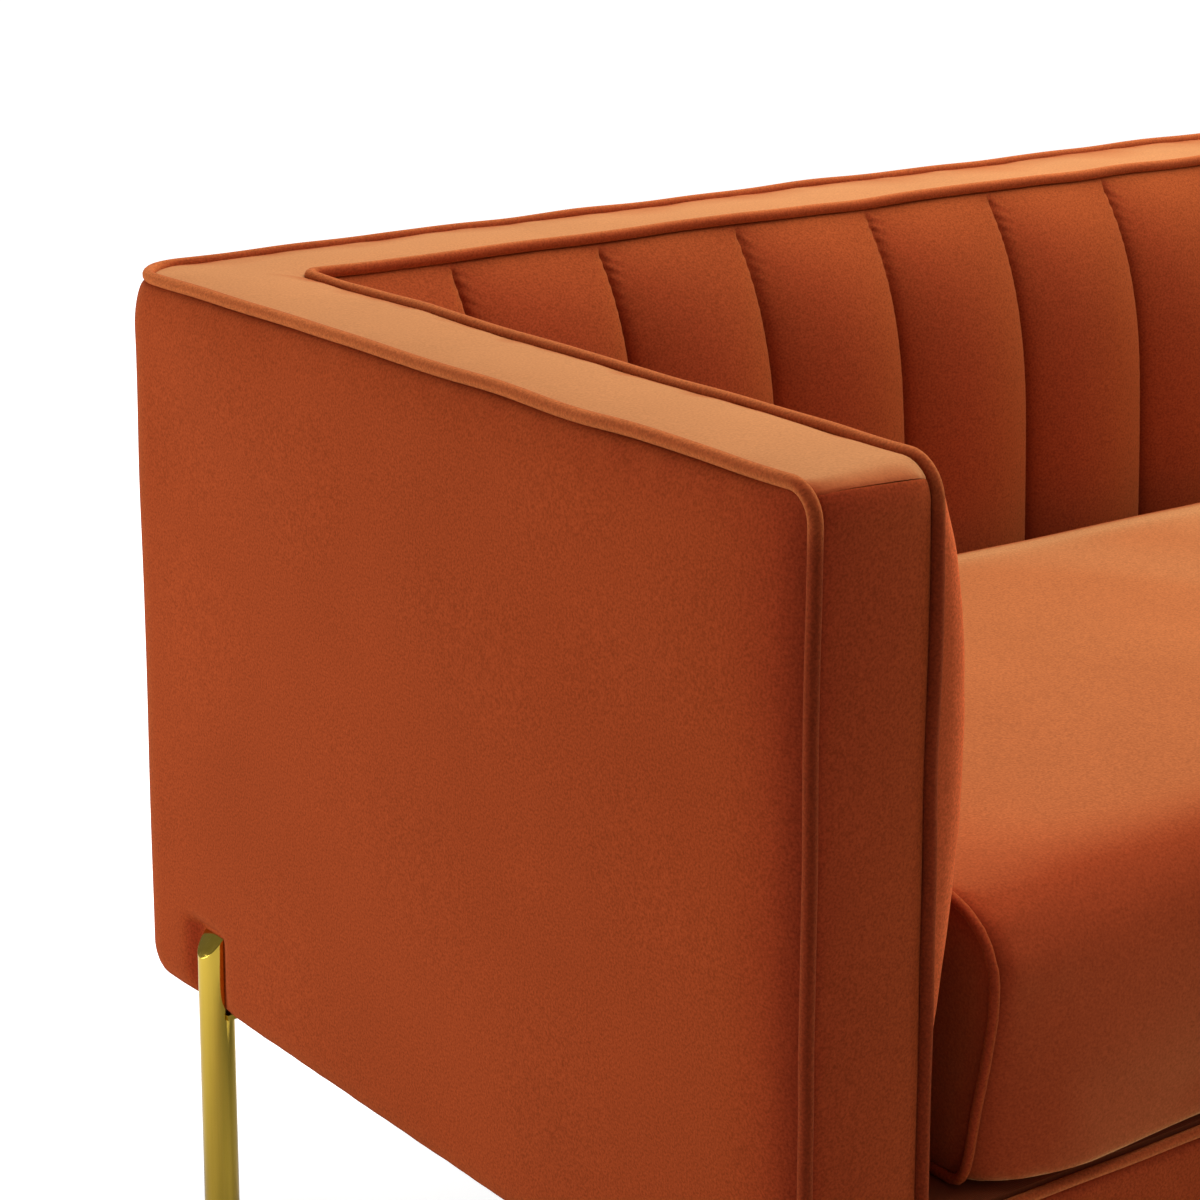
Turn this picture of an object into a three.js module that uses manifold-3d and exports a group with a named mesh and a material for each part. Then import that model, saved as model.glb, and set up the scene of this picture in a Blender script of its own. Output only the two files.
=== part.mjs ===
// Tuxedo sofa: arms and back of one height, a channelled back, a loose bench cushion and brass tube legs.
// Millimetres. X runs along the sofa, the front faces -Y, +Z is up, and the origin is on the floor.
import * as THREE from 'three';
import { mergeVertices } from 'three/addons/utils/BufferGeometryUtils.js';
import Module from 'manifold-3d';

const wasm = await Module();
wasm.setup();

// Driving sizes of the whole sofa, measured between the centres of its outer piping
const width = 2080;
const depth = 840;
const height = 761;
const bodyUnderside = 173.5;
const armThickness = 101.6;
const gap = 0.3;

// Piping
const pipingRadius = 5;
const cushionPipingRadius = 4;
const outerCornerRadius = 45;
const innerCornerRadius = 12;
const outerFrontTurn = 22;
const innerFrontTurn = 26;
const innerFrontSetback = 7;
const pipingSides = 8;
const turnSteps = 5;
const cornerSteps = 6;

// Timber frame
const railThickness = 38;
const railEase = 3;
const topPadThickness = 21.7;
const seatRailHeight = 70.5;
const seatRailThickness = 38;
const stretcherDrop = 14;
const stretcherPlace = 315;
const cornerBlockLeg = 92;
const backUprights = 3;

// Padded covers, with their lines crowded in each roll and spread over the flat between
const sideCrown = 12;
const backCrown = 14;
const padLip = 1;
const hemRise = 4.5;
const sideTopRoll = 52;
const sideBottomRoll = 46;
const sideFrontRoll = 60;
const frontPadThickness = 13;
const bandEdgeRound = 3;
const seamGap = 0.4;
const rollShares = [0, 0.08, 0.2, 0.4, 0.65, 1];
const sideLengthShares = [-0.18, 0, 0.18];
const sideHeightShares = [0.39, 0.7, 0.86];
const backLengthShares = [0, 0.03, 0.1, 0.25, 0.5, 0.75, 0.9, 0.97, 1];
const backHeightShares = [0.3, 0.6];

// The cross seam of an arm, in shares of half a turn: the band ends at one, and the front panel at the other
const bandSeamShare = 0.75;
const panelSeamShare = 0.77;

// Inner arm pads
const armPadCrown = 45;
const armPadFrontRoll = 34;
const armPadRearRoll = 60;
const armPadCrest = 580;
const armPadTopPower = 0.8;
const armPadFootPower = 0.5;
const armPadLengthShares = [0, 0.006, 0.018, 0.035, 0.055, 0.2, 0.5, 0.8, 0.92, 0.96, 0.985, 0.995, 1];
const armPadHeightShares = [0, 0.1, 0.25, 0.45, 0.64, 0.78, 0.88, 0.93, 0.97, 0.99, 1];

// Channelled back
const channelCount = 13;
const channelPitch = 146.3;
const backSwell = 64;
const backSwellReach = 75;
const channelCrown = 22;
const channelCrownReach = 45;
const channelLineShares = [-1, -0.9, -0.55, 0, 0.55, 0.9];
const channelHeightShares = [0, 0.3, 0.55, 0.72, 0.84, 0.92, 0.965, 0.99, 1];

// Seat
const deckThickness = 10.5;
const webbingThickness = 2;
const webbingWidth = 58;
const webbingStraps = 7;
const crossStraps = 2;
const crossStrapPlace = 130;
const frontRailCover = 5;
const railCoverEase = 10;
const railPipingRadius = 4;

// Bench cushion
const cushionThickness = 199;
const cushionFront = 416;
const cushionCrown = 18;
const cushionCrownReach = 110;
const cushionTopCrown = 4;
const cushionClearance = 0.6;
const cushionNose = 62;
const cushionBackRoll = 26;
const cushionFootShare = 0.8;
const cushionLengthShares = [1, 0.99, 0.97, 0.94, 0.9, 0.8, 0.55, 0.25];
// Each pair is how far forward, and how far up, a point of the rounded nose lies
const cushionNoseShares = [
  [0, 0], [0.42, 0.01], [0.55, 0.1], [0.68, 0.28], [0.85, 0.46], [0.97, 0.62], [1, 0.74],
  [0.95, 0.83], [0.75, 0.92], [0.42, 0.98], [0, 1],
];
// Each pair is how far in, and how far down, a point of the rounded back edge lies
const cushionBackShares = [[1, 0], [0.3, 0.3], [0, 1]];
// Each pair is how far in, and how far up, a point of the back's lower edge lies
const cushionHeelShares = [[0, 0.5], [0.5, 0]];

// Legs
const legRadius = 14;
const legWall = 2;
const legOutset = 2;
const legSetback = 114;
const legTop = 64.2;
const bevelRise = 1.2;
const tubeSides = 24;
const plateThickness = 4.4;
const plateHalfWidth = 17;
const plateLength = 76;
const plateCorner = 9;
const plateHoleShares = [0.45, 0.85];
const screwHoleRadius = 2.4;
const glideHeight = 6;
const glideRadius = 12.5;
const glideChamfer = 1;
const glideStem = 14;
const glideSides = 16;
const dentShoulder = 14;
const dustCoverThickness = 1.5;
const dustCoverInset = 17;

// Planes and heights that follow from those sizes
const halfWidth = width / 2;
const halfDepth = depth / 2;
const pipingTop = height - pipingRadius;
const frameClear = pipingRadius + gap;
const padFoot = frameClear - seamGap;
const coverBottom = bodyUnderside + hemRise;
const innerX = halfWidth - armThickness;
const innerY = halfDepth - armThickness;
const frameOuterX = halfWidth - frameClear - gap;
const frameInnerX = innerX + frameClear + gap;
const frameOuterY = halfDepth - frameClear - gap;
const frameInnerY = innerY + frameClear + gap;
const frontPadInner = halfDepth - frontPadThickness + padLip;
const frameFront = -frontPadInner + gap;
const bandTop = pipingTop + padLip;
const frameTop = bandTop - topPadThickness;
const frameBottom = bodyUnderside + gap;
const padTop = pipingTop - frameClear;
const seatRailTop = frameBottom + seatRailHeight;
const webbingZ = seatRailTop + gap;
const deckBottom = webbingZ + 2 * webbingThickness + 2 * gap;
const deckTop = deckBottom + deckThickness;
const padBottom = deckTop + gap;
const cushionBottom = padBottom - gap / 2;
const cushionTop = cushionBottom + cushionThickness;
const armPadFace = innerX - armPadCrown;
const cushionEnd = armPadFace - cushionClearance - 2 * cushionPipingRadius - gap;
const cushionBack = innerY - padLip - backSwell - channelCrown - cushionClearance;
const legX = halfWidth + legOutset;
const legPlace = halfDepth - legSetback;
const tubeTop = bodyUnderside - plateThickness - gap;

const velvet = new THREE.Color(0.48, 0.12, 0.035);
const darkVelvet = new THREE.Color(0.36, 0.08, 0.025);
const brass = new THREE.Color(0.6, 0.42, 0.1);
const pine = new THREE.Color(0.65, 0.48, 0.29);
const black = new THREE.Color(0.03, 0.03, 0.03);

const sofa = new THREE.Group();

function finish(color, roughness, metalness) {
  return new THREE.MeshStandardMaterial({ color, roughness, metalness });
}

function add(name, geometry, color, roughness = 0.9, metalness = 0) {
  const mesh = new THREE.Mesh(geometry, finish(color, roughness, metalness));
  mesh.name = name;
  sofa.add(mesh);
  return mesh;
}

// A closed mesh with merged corners and its faces turned outwards
function closed(positions, faces) {
  let volume = 0;
  const at = (i) => positions[i];
  for (const [a, b, c] of faces) {
    volume += at(a).dot(new THREE.Vector3().crossVectors(at(b), at(c)));
  }
  const index = faces.flatMap(([a, b, c]) => (volume > 0 ? [a, b, c] : [a, c, b]));
  const geometry = new THREE.BufferGeometry();
  const flat = positions.flatMap((p) => p.toArray());
  geometry.setAttribute('position', new THREE.Float32BufferAttribute(flat, 3));
  geometry.setIndex(index);
  geometry.computeVertexNormals();
  return geometry;
}

function merged(geometry) {
  const bare = geometry.clone();
  bare.deleteAttribute('normal');
  bare.deleteAttribute('uv');
  return mergeVertices(bare, 1e-3);
}

// The same mesh with its faces turned outwards
function outward(geometry) {
  const bare = merged(geometry);
  const positions = [];
  for (let i = 0; i < bare.attributes.position.count; i += 1) {
    positions.push(new THREE.Vector3().fromBufferAttribute(bare.attributes.position, i));
  }
  const faces = [];
  for (let i = 0; i < bare.index.count; i += 3) {
    faces.push([bare.index.getX(i), bare.index.getX(i + 1), bare.index.getX(i + 2)]);
  }
  return closed(positions, faces);
}

function solid(geometry) {
  const bare = outward(geometry);
  const vertProperties = new Float32Array(bare.attributes.position.array);
  const triVerts = new Uint32Array(bare.index.array);
  return new wasm.Manifold(new wasm.Mesh({ numProp: 3, vertProperties, triVerts }));
}

function fromSolid(manifold) {
  const mesh = manifold.getMesh();
  const geometry = new THREE.BufferGeometry();
  const places = new Float32Array((mesh.vertProperties.length / mesh.numProp) * 3);
  for (let i = 0; i < places.length / 3; i += 1) {
    for (let k = 0; k < 3; k += 1) {
      places[3 * i + k] = mesh.vertProperties[mesh.numProp * i + k];
    }
  }
  geometry.setAttribute('position', new THREE.BufferAttribute(places, 3));
  geometry.setIndex(new THREE.BufferAttribute(new Uint32Array(mesh.triVerts), 1));
  geometry.computeVertexNormals();
  return geometry;
}

function mirroredX(geometry) {
  const copy = merged(geometry);
  copy.scale(-1, 1, 1);
  const order = Array.from(copy.index.array);
  for (let i = 0; i < order.length; i += 3) {
    [order[i + 1], order[i + 2]] = [order[i + 2], order[i + 1]];
  }
  copy.setIndex(order);
  copy.computeVertexNormals();
  return copy;
}

// Rings of equal length joined into a skin, with a flat cap at each end
function loft(rings) {
  const count = rings[0].length;
  const positions = rings.flat();
  const faces = [];
  for (let r = 0; r + 1 < rings.length; r += 1) {
    for (let i = 0; i < count; i += 1) {
      const a = r * count + i;
      const b = r * count + ((i + 1) % count);
      faces.push([a, b, b + count], [a, b + count, a + count]);
    }
  }
  for (const [ring, turned] of [[0, true], [rings.length - 1, false]]) {
    const centre = positions.length;
    const middle = new THREE.Vector3();
    rings[ring].forEach((p) => middle.addScaledVector(p, 1 / count));
    positions.push(middle);
    for (let i = 0; i < count; i += 1) {
      const a = ring * count + i;
      const b = ring * count + ((i + 1) % count);
      faces.push(turned ? [centre, b, a] : [centre, a, b]);
    }
  }
  return closed(positions, faces);
}

// A padded panel: a shaped face over a ruled back, both given at shares s and t of its two directions
function panel(sShares, tShares, face, back) {
  const across = sShares.length;
  const up = tShares.length;
  const positions = [];
  const faceAt = (i, j) => i * up + j;
  sShares.forEach((s) => tShares.forEach((t) => positions.push(face(s, t))));
  const border = [];
  for (let j = 0; j < up; j += 1) border.push([0, j]);
  for (let i = 1; i < across; i += 1) border.push([i, up - 1]);
  for (let j = up - 2; j >= 0; j -= 1) border.push([across - 1, j]);
  for (let i = across - 2; i > 0; i -= 1) border.push([i, 0]);
  const backAt = new Map();
  border.forEach(([i, j]) => {
    backAt.set(faceAt(i, j), positions.length);
    positions.push(back(sShares[i], tShares[j]));
  });
  const rear = (i, j) => backAt.get(faceAt(i, j));
  const faces = [];
  for (let i = 0; i + 1 < across; i += 1) {
    for (let j = 0; j + 1 < up; j += 1) {
      faces.push([faceAt(i, j), faceAt(i + 1, j), faceAt(i + 1, j + 1)]);
      faces.push([faceAt(i, j), faceAt(i + 1, j + 1), faceAt(i, j + 1)]);
    }
  }
  border.forEach(([i, j], k) => {
    const [m, n] = border[(k + 1) % border.length];
    faces.push([faceAt(i, j), faceAt(m, n), rear(m, n)], [faceAt(i, j), rear(m, n), rear(i, j)]);
  });
  for (let i = 1; i + 2 < across; i += 1) {
    faces.push([rear(i, 0), rear(i + 1, up - 1), rear(i + 1, 0)]);
    faces.push([rear(i, 0), rear(i, up - 1), rear(i + 1, up - 1)]);
  }
  for (let j = 0; j + 1 < up; j += 1) {
    faces.push([rear(1, 0), rear(0, j), rear(0, j + 1)]);
    faces.push([rear(across - 2, 0), rear(across - 1, j + 1), rear(across - 1, j)]);
  }
  faces.push([rear(1, 0), rear(0, up - 1), rear(1, up - 1)]);
  faces.push([rear(across - 2, 0), rear(across - 2, up - 1), rear(across - 1, up - 1)]);
  return closed(positions, faces);
}

// A quarter-round rise from an edge to full height over a given length
function roll(distance, length) {
  const short = Math.max(0, 1 - Math.max(0, distance) / length);
  return Math.sqrt(Math.max(0, 1 - short * short));
}

function ease(share) {
  const s = Math.min(1, Math.max(0, share));
  return s * s * (3 - 2 * s);
}

// A flat outline with one corner radius, drawn about its own middle
function roundedRectangle(wide, tall, radius) {
  const x = wide / 2;
  const y = tall / 2;
  const shape = new THREE.Shape();
  shape.moveTo(radius - x, -y);
  shape.lineTo(x - radius, -y);
  shape.absarc(x - radius, radius - y, radius, -Math.PI / 2, 0);
  shape.lineTo(x, y - radius);
  shape.absarc(x - radius, y - radius, radius, 0, Math.PI / 2);
  shape.lineTo(radius - x, y);
  shape.absarc(radius - x, y - radius, radius, Math.PI / 2, Math.PI);
  shape.lineTo(-x, radius - y);
  shape.absarc(radius - x, radius - y, radius, Math.PI, 1.5 * Math.PI);
  return shape;
}

// A flat outline made a solid of the given height
function extruded(shape, tall, curveSegments) {
  return new THREE.ExtrudeGeometry(shape, { depth: tall, bevelEnabled: false, curveSegments });
}

// A timber between two corners, with its four long edges eased; along names the axis that it runs on
function timber(name, low, high, along) {
  const size = new THREE.Vector3(high[0] - low[0], high[1] - low[1], high[2] - low[2]);
  const middle = new THREE.Vector3((high[0] + low[0]) / 2, (high[1] + low[1]) / 2, (high[2] + low[2]) / 2);
  const outline = { x: [size.y, size.z], y: [size.x, size.z], z: [size.x, size.y] }[along];
  const length = size[along];
  const shape = roundedRectangle(outline[0], outline[1], railEase);
  const geometry = extruded(shape, length, 2);
  geometry.translate(0, 0, -length / 2);
  if (along === 'x') geometry.rotateZ(Math.PI / 2).rotateY(Math.PI / 2);
  if (along === 'y') geometry.rotateX(Math.PI / 2);
  if (along === 'x') geometry.rotateX(Math.PI);
  geometry.translate(middle.x, middle.y, middle.z);
  return add(name, geometry, pine, 0.8);
}

// The outline of one arm seen from above, with the rounded corner that the cover is drawn round
function armPlan(front) {
  const radius = outerCornerRadius - frameClear - gap;
  const shape = new THREE.Shape();
  shape.moveTo(-frameInnerX, front);
  shape.lineTo(-frameInnerX, frameOuterY);
  shape.lineTo(radius - frameOuterX, frameOuterY);
  shape.absarc(radius - frameOuterX, frameOuterY - radius, radius, Math.PI / 2, Math.PI);
  shape.lineTo(-frameOuterX, front);
  return shape;
}

function plank(name, shape, bottom, top, side) {
  const geometry = extruded(shape, top - bottom, 6);
  geometry.translate(0, 0, bottom);
  return add(name, side < 0 ? merged(geometry) : mirroredX(geometry), pine, 0.8);
}

function frame() {
  const postBottom = frameBottom + railThickness + gap;
  const postTop = frameTop - railThickness - gap;
  for (const [side, word] of [[-1, 'left'], [1, 'right']]) {
    plank(`arm_top_rail_${word}`, armPlan(frameFront), frameTop - railThickness, frameTop, side);
    plank(`arm_bottom_rail_${word}`, armPlan(frameFront), frameBottom, frameBottom + railThickness, side);
    plank(`arm_rear_post_${word}`, armPlan(frameOuterY - outerCornerRadius), postBottom, postTop, side);
    const edges = [side * frameInnerX, side * frameOuterX].sort((a, b) => a - b);
    const rearFace = frameFront + railThickness;
    timber(`arm_front_post_${word}`, [edges[0], frameFront, postBottom], [edges[1], rearFace, postTop], 'z');
  }
  const reach = frameInnerX - gap;
  const topBottom = frameTop - railThickness;
  timber('back_top_rail', [-reach, frameInnerY, topBottom], [reach, frameOuterY, frameTop], 'x');
  const bottomTop = frameBottom + railThickness;
  timber('back_bottom_rail', [-reach, frameInnerY, frameBottom], [reach, frameOuterY, bottomTop], 'x');
  for (let i = 0; i < backUprights; i += 1) {
    const x = ((i + 1) / (backUprights + 1) - 0.5) * 2 * reach;
    const low = [x - railThickness / 2, frameInnerY, postBottom];
    const high = [x + railThickness / 2, frameOuterY, postTop];
    timber(`back_upright_${i + 1}`, low, high, 'z');
  }
  const railBack = frameFront + seatRailThickness;
  timber('seat_front_rail', [-reach, frameFront, frameBottom], [reach, railBack, seatRailTop], 'x');
  const rearFront = frameInnerY - gap - seatRailThickness;
  timber('seat_rear_rail', [-reach, rearFront, frameBottom], [reach, frameInnerY - gap, seatRailTop], 'x');
  for (const [side, word] of [[-1, 'left'], [1, 'right']]) {
    const x = side * stretcherPlace;
    const half = railThickness / 2;
    const low = [x - half, railBack + gap, frameBottom];
    timber(`seat_stretcher_${word}`, low, [x + half, rearFront - gap, seatRailTop - stretcherDrop], 'y');
  }
  for (const [side, word] of [[-1, 'left'], [1, 'right']]) {
    for (const [face, turn, end] of [[railBack + gap, 1, 'front'], [rearFront - gap, -1, 'rear']]) {
      const shape = new THREE.Shape();
      shape.moveTo(side * reach, face);
      shape.lineTo(side * (reach - cornerBlockLeg), face);
      shape.lineTo(side * reach, face + turn * cornerBlockLeg);
      const block = extruded(shape, railThickness, 1);
      block.translate(0, 0, frameBottom);
      add(`corner_block_${end}_${word}`, merged(block), pine, 0.8);
    }
  }
  return { railBack, rearFront };
}

// One strap of webbing as a thin band through its stations
function strap(name, stations, sideways) {
  const rings = stations.map((p) => {
    const half = sideways.clone().multiplyScalar(webbingWidth / 2);
    const thick = new THREE.Vector3(0, 0, webbingThickness);
    const low = p.clone().sub(half);
    const high = p.clone().add(half);
    return [low, high, high.clone().add(thick), low.clone().add(thick)];
  });
  add(name, loft(rings), black, 0.95);
}

function webbing(rails) {
  const span = frameInnerX - gap;
  const spacing = (2 * span) / webbingStraps;
  const strapX = [];
  for (let i = 0; i < webbingStraps; i += 1) {
    const x = (i + 0.5) * spacing - span;
    strapX.push(x);
    const front = new THREE.Vector3(x, frameFront + railEase, webbingZ);
    const rear = new THREE.Vector3(x, frameInnerY - gap - railEase, webbingZ);
    strap(`webbing_strap_${i + 1}`, [front, rear], new THREE.Vector3(1, 0, 0));
  }
  const step = webbingThickness + gap;
  const middle = (rails.railBack + rails.rearFront) / 2;
  for (let k = 0; k < crossStraps; k += 1) {
    const y = middle + (k - (crossStraps - 1) / 2) * 2 * crossStrapPlace;
    const stations = [new THREE.Vector3(gap - span, y, webbingZ - step)];
    strapX.forEach((x, i) => {
      const rise = (i + k) % 2 === 0 ? step : -step;
      const half = webbingWidth / 2 + webbingThickness;
      stations.push(new THREE.Vector3(x - half, y, webbingZ + rise));
      stations.push(new THREE.Vector3(x + half, y, webbingZ + rise));
    });
    stations.push(new THREE.Vector3(span - gap, y, webbingZ - step));
    strap(`webbing_cross_${k + 1}`, stations, new THREE.Vector3(0, 1, 0));
  }
}

// A route through chosen stations, so that a swept cord has a ring at each of them and nowhere else
class Route extends THREE.Curve {
  constructor(stations) {
    super();
    this.stations = stations;
  }

  getPointAt(u) {
    const place = u * (this.stations.length - 1);
    const i = Math.min(Math.floor(place), this.stations.length - 2);
    return this.stations[i].clone().lerp(this.stations[i + 1], place - i);
  }

  getPoint(u) {
    return this.getPointAt(u);
  }

  getTangentAt(u) {
    const i = Math.round(u * (this.stations.length - 1));
    const before = this.stations[Math.max(i - 1, 0)];
    const after = this.stations[Math.min(i + 1, this.stations.length - 1)];
    return after.clone().sub(before).normalize();
  }

  getTangent(u) {
    return this.getTangentAt(u);
  }
}

function cord(name, stations, radius, color = velvet) {
  const shape = new THREE.Shape();
  for (let i = 0; i <= pipingSides; i += 1) {
    const angle = ((i + 0.5) / pipingSides) * 2 * Math.PI;
    const point = [radius * Math.cos(angle), radius * Math.sin(angle)];
    if (i === 0) shape.moveTo(...point);
    else if (i < pipingSides) shape.lineTo(...point);
  }
  const steps = stations.length - 1;
  const along = { steps, extrudePath: new Route(stations), bevelEnabled: false };
  const geometry = new THREE.ExtrudeGeometry(shape, along);
  add(name, outward(geometry), color);
}

// The arc from one direction to another about a centre, in the plane of two unit vectors
function arc(centre, radius, from, to, steps) {
  const points = [];
  for (let i = 0; i <= steps; i += 1) {
    const a = (i / steps) * (Math.PI / 2);
    const point = centre.clone().addScaledVector(from, radius * Math.cos(a));
    points.push(point.addScaledVector(to, radius * Math.sin(a)));
  }
  return points;
}

// Piping up one arm front, along the arm, round the back and down the other arm front
function pipingStations(x, frontY, rearY, cornerRadius, turn) {
  const up = new THREE.Vector3(0, 0, 1);
  const forward = new THREE.Vector3(0, -1, 0);
  const left = new THREE.Vector3(-1, 0, 0);
  const backward = new THREE.Vector3(0, 1, 0);
  const half = [new THREE.Vector3(-x, frontY, coverBottom)];
  const turnCentre = new THREE.Vector3(-x, frontY + turn, pipingTop - turn);
  half.push(...arc(turnCentre, turn, forward, up, turnSteps));
  const cornerCentre = new THREE.Vector3(cornerRadius - x, rearY - cornerRadius, pipingTop);
  half.push(...arc(cornerCentre, cornerRadius, left, backward, cornerSteps));
  const other = half.map((p) => new THREE.Vector3(-p.x, p.y, p.z)).reverse();
  return [...half, ...other];
}

function piping() {
  const outer = pipingStations(halfWidth, -halfDepth, halfDepth, outerCornerRadius, outerFrontTurn);
  const innerFront = innerFrontSetback - halfDepth;
  const inner = pipingStations(innerX, innerFront, innerY, innerCornerRadius, innerFrontTurn);
  cord('outer_piping', outer, pipingRadius);
  cord('inner_piping', inner, pipingRadius);
  const z = deckBottom;
  const y = frameFront - gap - railPipingRadius;
  const reach = innerX - frameClear - gap;
  const ends = [-reach, reach].map((x) => new THREE.Vector3(x, y, z));
  cord('base_rail_piping', ends, railPipingRadius);
}

// The padded band over the tops of both arms and the back
function topBand() {
  const x = halfWidth - frameClear;
  const y = halfDepth - frameClear;
  const outer = outerCornerRadius - frameClear;
  const ix = innerX + frameClear;
  const iy = innerY + frameClear;
  const plan = new THREE.Shape();
  plan.moveTo(-x, -halfDepth);
  plan.lineTo(-ix, -halfDepth);
  plan.lineTo(-ix, iy);
  plan.lineTo(ix, iy);
  plan.lineTo(ix, -halfDepth);
  plan.lineTo(x, -halfDepth);
  plan.lineTo(x, y - outer);
  plan.absarc(x - outer, y - outer, outer, 0, Math.PI / 2);
  plan.lineTo(outer - x, y);
  plan.absarc(outer - x, y - outer, outer, Math.PI / 2, Math.PI);
  const bottom = frameTop + gap;
  const tall = bandTop - bottom;
  const edge = { bevelThickness: bandEdgeRound, bevelSize: bandEdgeRound, bevelOffset: -bandEdgeRound };
  const fine = { bevelEnabled: true, bevelSegments: 2, curveSegments: 6 };
  const slab = new THREE.ExtrudeGeometry(plan, { depth: tall - bandEdgeRound, ...fine, ...edge });
  slab.translate(0, 0, bottom);
  const profile = frontProfile(true);
  const cutter = extruded(profile, 2 * width, 6);
  acrossX(cutter, 2 * width);
  const band = solid(slab).intersect(solid(cutter));
  add('top_band', fromSolid(band), velvet);
}

// Outlines drawn with (y, z) as their two axes are swept along X, about the middle of the sofa
function acrossX(geometry, length) {
  geometry.translate(0, 0, -length / 2);
  const turn = new THREE.Matrix4().makeBasis(
    new THREE.Vector3(0, 1, 0),
    new THREE.Vector3(0, 0, 1),
    new THREE.Vector3(1, 0, 0),
  );
  geometry.applyMatrix4(turn);
}

// Side outline of the band (top) or of the front panel, which meet at a seam halfway round the turn
function frontProfile(top) {
  const radius = outerFrontTurn + padLip;
  const centre = [outerFrontTurn - halfDepth, pipingTop - outerFrontTurn];
  const half = Math.SQRT1_2 * radius;
  const shape = new THREE.Shape();
  const bottom = frameTop + gap;
  if (top) {
    shape.moveTo(frameFront, bottom);
    shape.lineTo(depth, bottom);
    shape.lineTo(depth, bandTop);
    shape.lineTo(centre[0], bandTop);
    shape.absarc(centre[0], centre[1], radius, Math.PI / 2, bandSeamShare * Math.PI);
    return shape;
  }
  const face = -frontPadInner;
  shape.moveTo(face, coverBottom);
  shape.lineTo(face, bottom - seamGap - padLip);
  shape.lineTo(centre[0] - half - seamGap, centre[1] + half - seamGap);
  shape.absarc(centre[0], centre[1], radius, panelSeamShare * Math.PI, Math.PI);
  shape.lineTo(centre[0] - radius, coverBottom);
  return shape;
}

function frontPanels() {
  const wide = armThickness - 2 * frameClear;
  const shape = frontProfile(false);
  const panelBody = extruded(shape, wide, 6);
  acrossX(panelBody, wide);
  panelBody.translate(-(innerX + halfWidth) / 2, 0, 0);
  add('arm_front_panel_left', merged(panelBody), velvet);
  add('arm_front_panel_right', mirroredX(panelBody), velvet);
}

// Points that lie outside a rounded corner are drawn in onto its arc
function roundedAt(y, z, cornerY, cornerZ, radius, inward) {
  const centreY = cornerY + inward[0] * radius;
  const centreZ = cornerZ + inward[1] * radius;
  const dy = y - centreY;
  const dz = z - centreZ;
  if (dy * inward[0] >= 0 || dz * inward[1] >= 0) return [y, z];
  const reach = Math.hypot(dy, dz);
  if (reach <= radius) return [y, z];
  return [centreY + (dy * radius) / reach, centreZ + (dz * radius) / reach];
}

// The length of the leg's tongue that the cover is pressed round, as a share of full depth
function dentShare(y, z) {
  const beside = Math.abs(Math.abs(y) - legPlace) - legRadius - gap;
  const above = z - (bodyUnderside + legTop + gap);
  const away = Math.max(beside, above, 0);
  return 1 - ease(away / dentShoulder);
}

// Heights up an outer cover, close together where it rolls in at its foot and its top
function coverHeights(tall, between) {
  const low = rollShares.map((share) => (share * sideBottomRoll) / tall);
  const high = rollShares.map((share) => 1 - (share * sideTopRoll) / tall).reverse();
  return [...low, ...between, ...high];
}

// The outer cover of one arm, drawn round the rear corner to a seam on the back
function sidePad() {
  const corner = outerCornerRadius;
  const straightFront = frameClear - halfDepth;
  const straight = halfDepth - corner - straightFront;
  const bend = (corner * Math.PI) / 2;
  const length = straight + bend;
  const tall = padTop - coverBottom;
  const lineY = rollShares.map((share) => straightFront + share * sideFrontRoll);
  for (const legY of [-legPlace, legPlace]) {
    const edge = legRadius + gap;
    const soft = dentShoulder;
    lineY.push(legY - edge - soft, legY - edge - soft / 2, legY - edge, legY, legY + edge);
    lineY.push(legY + edge + soft / 2, legY + edge + soft);
  }
  lineY.push(...sideLengthShares.map((share) => share * depth));
  lineY.sort((a, b) => a - b);
  const lengthShares = lineY.map((y) => (y - straightFront) / length);
  for (let i = 0; i <= cornerSteps; i += 1) lengthShares.push((straight + (bend * i) / cornerSteps) / length);
  const tongue = legTop + gap - hemRise;
  const dentHeights = [tongue, tongue + dentShoulder / 2, tongue + dentShoulder].map((up) => up / tall);
  const heightShares = coverHeights(tall, [...dentHeights, ...sideHeightShares]);
  const cornerTurn = outerFrontTurn - frameClear;
  const place = (s, t, offset) => {
    const along = s * length;
    const z = coverBottom + t * tall;
    if (along <= straight) {
      const [y, zz] = roundedAt(straightFront + along, z, straightFront, padTop, cornerTurn, [1, -1]);
      return new THREE.Vector3(-halfWidth - offset, y, zz);
    }
    const a = ((along - straight) / bend) * (Math.PI / 2);
    const r = corner + offset;
    const y = halfDepth - corner + r * Math.sin(a);
    return new THREE.Vector3(corner - halfWidth - r * Math.cos(a), y, z);
  };
  const face = (s, t) => {
    const along = s * length;
    const z = t * tall;
    const rise = roll(tall - z, sideTopRoll) * roll(z, sideBottomRoll) * roll(along, sideFrontRoll);
    const full = padLip + (sideCrown - padLip) * rise;
    const floor = Math.min(full, legOutset - gap);
    const dent = along <= straight ? dentShare(straightFront + along, coverBottom + z) : 0;
    return place(s, t, full + (floor - full) * dent);
  };
  return panel(lengthShares, heightShares, face, (s, t) => place(s, t, -padFoot));
}

function backPad() {
  const reach = halfWidth - outerCornerRadius - gap;
  const tall = padTop - coverBottom;
  const face = (s, t) => {
    const z = t * tall;
    const rise = roll(tall - z, sideTopRoll) * roll(z, sideBottomRoll);
    const swell = sideCrown + (backCrown - sideCrown) * roll(Math.min(s, 1 - s) * 2, 1);
    const y = halfDepth + padLip + (swell - padLip) * rise;
    return new THREE.Vector3((2 * s - 1) * reach, y, coverBottom + z);
  };
  const back = (s, t) => new THREE.Vector3((2 * s - 1) * reach, halfDepth - padFoot, coverBottom + t * tall);
  return panel(backLengthShares, coverHeights(tall, backHeightShares), face, back);
}

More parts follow.
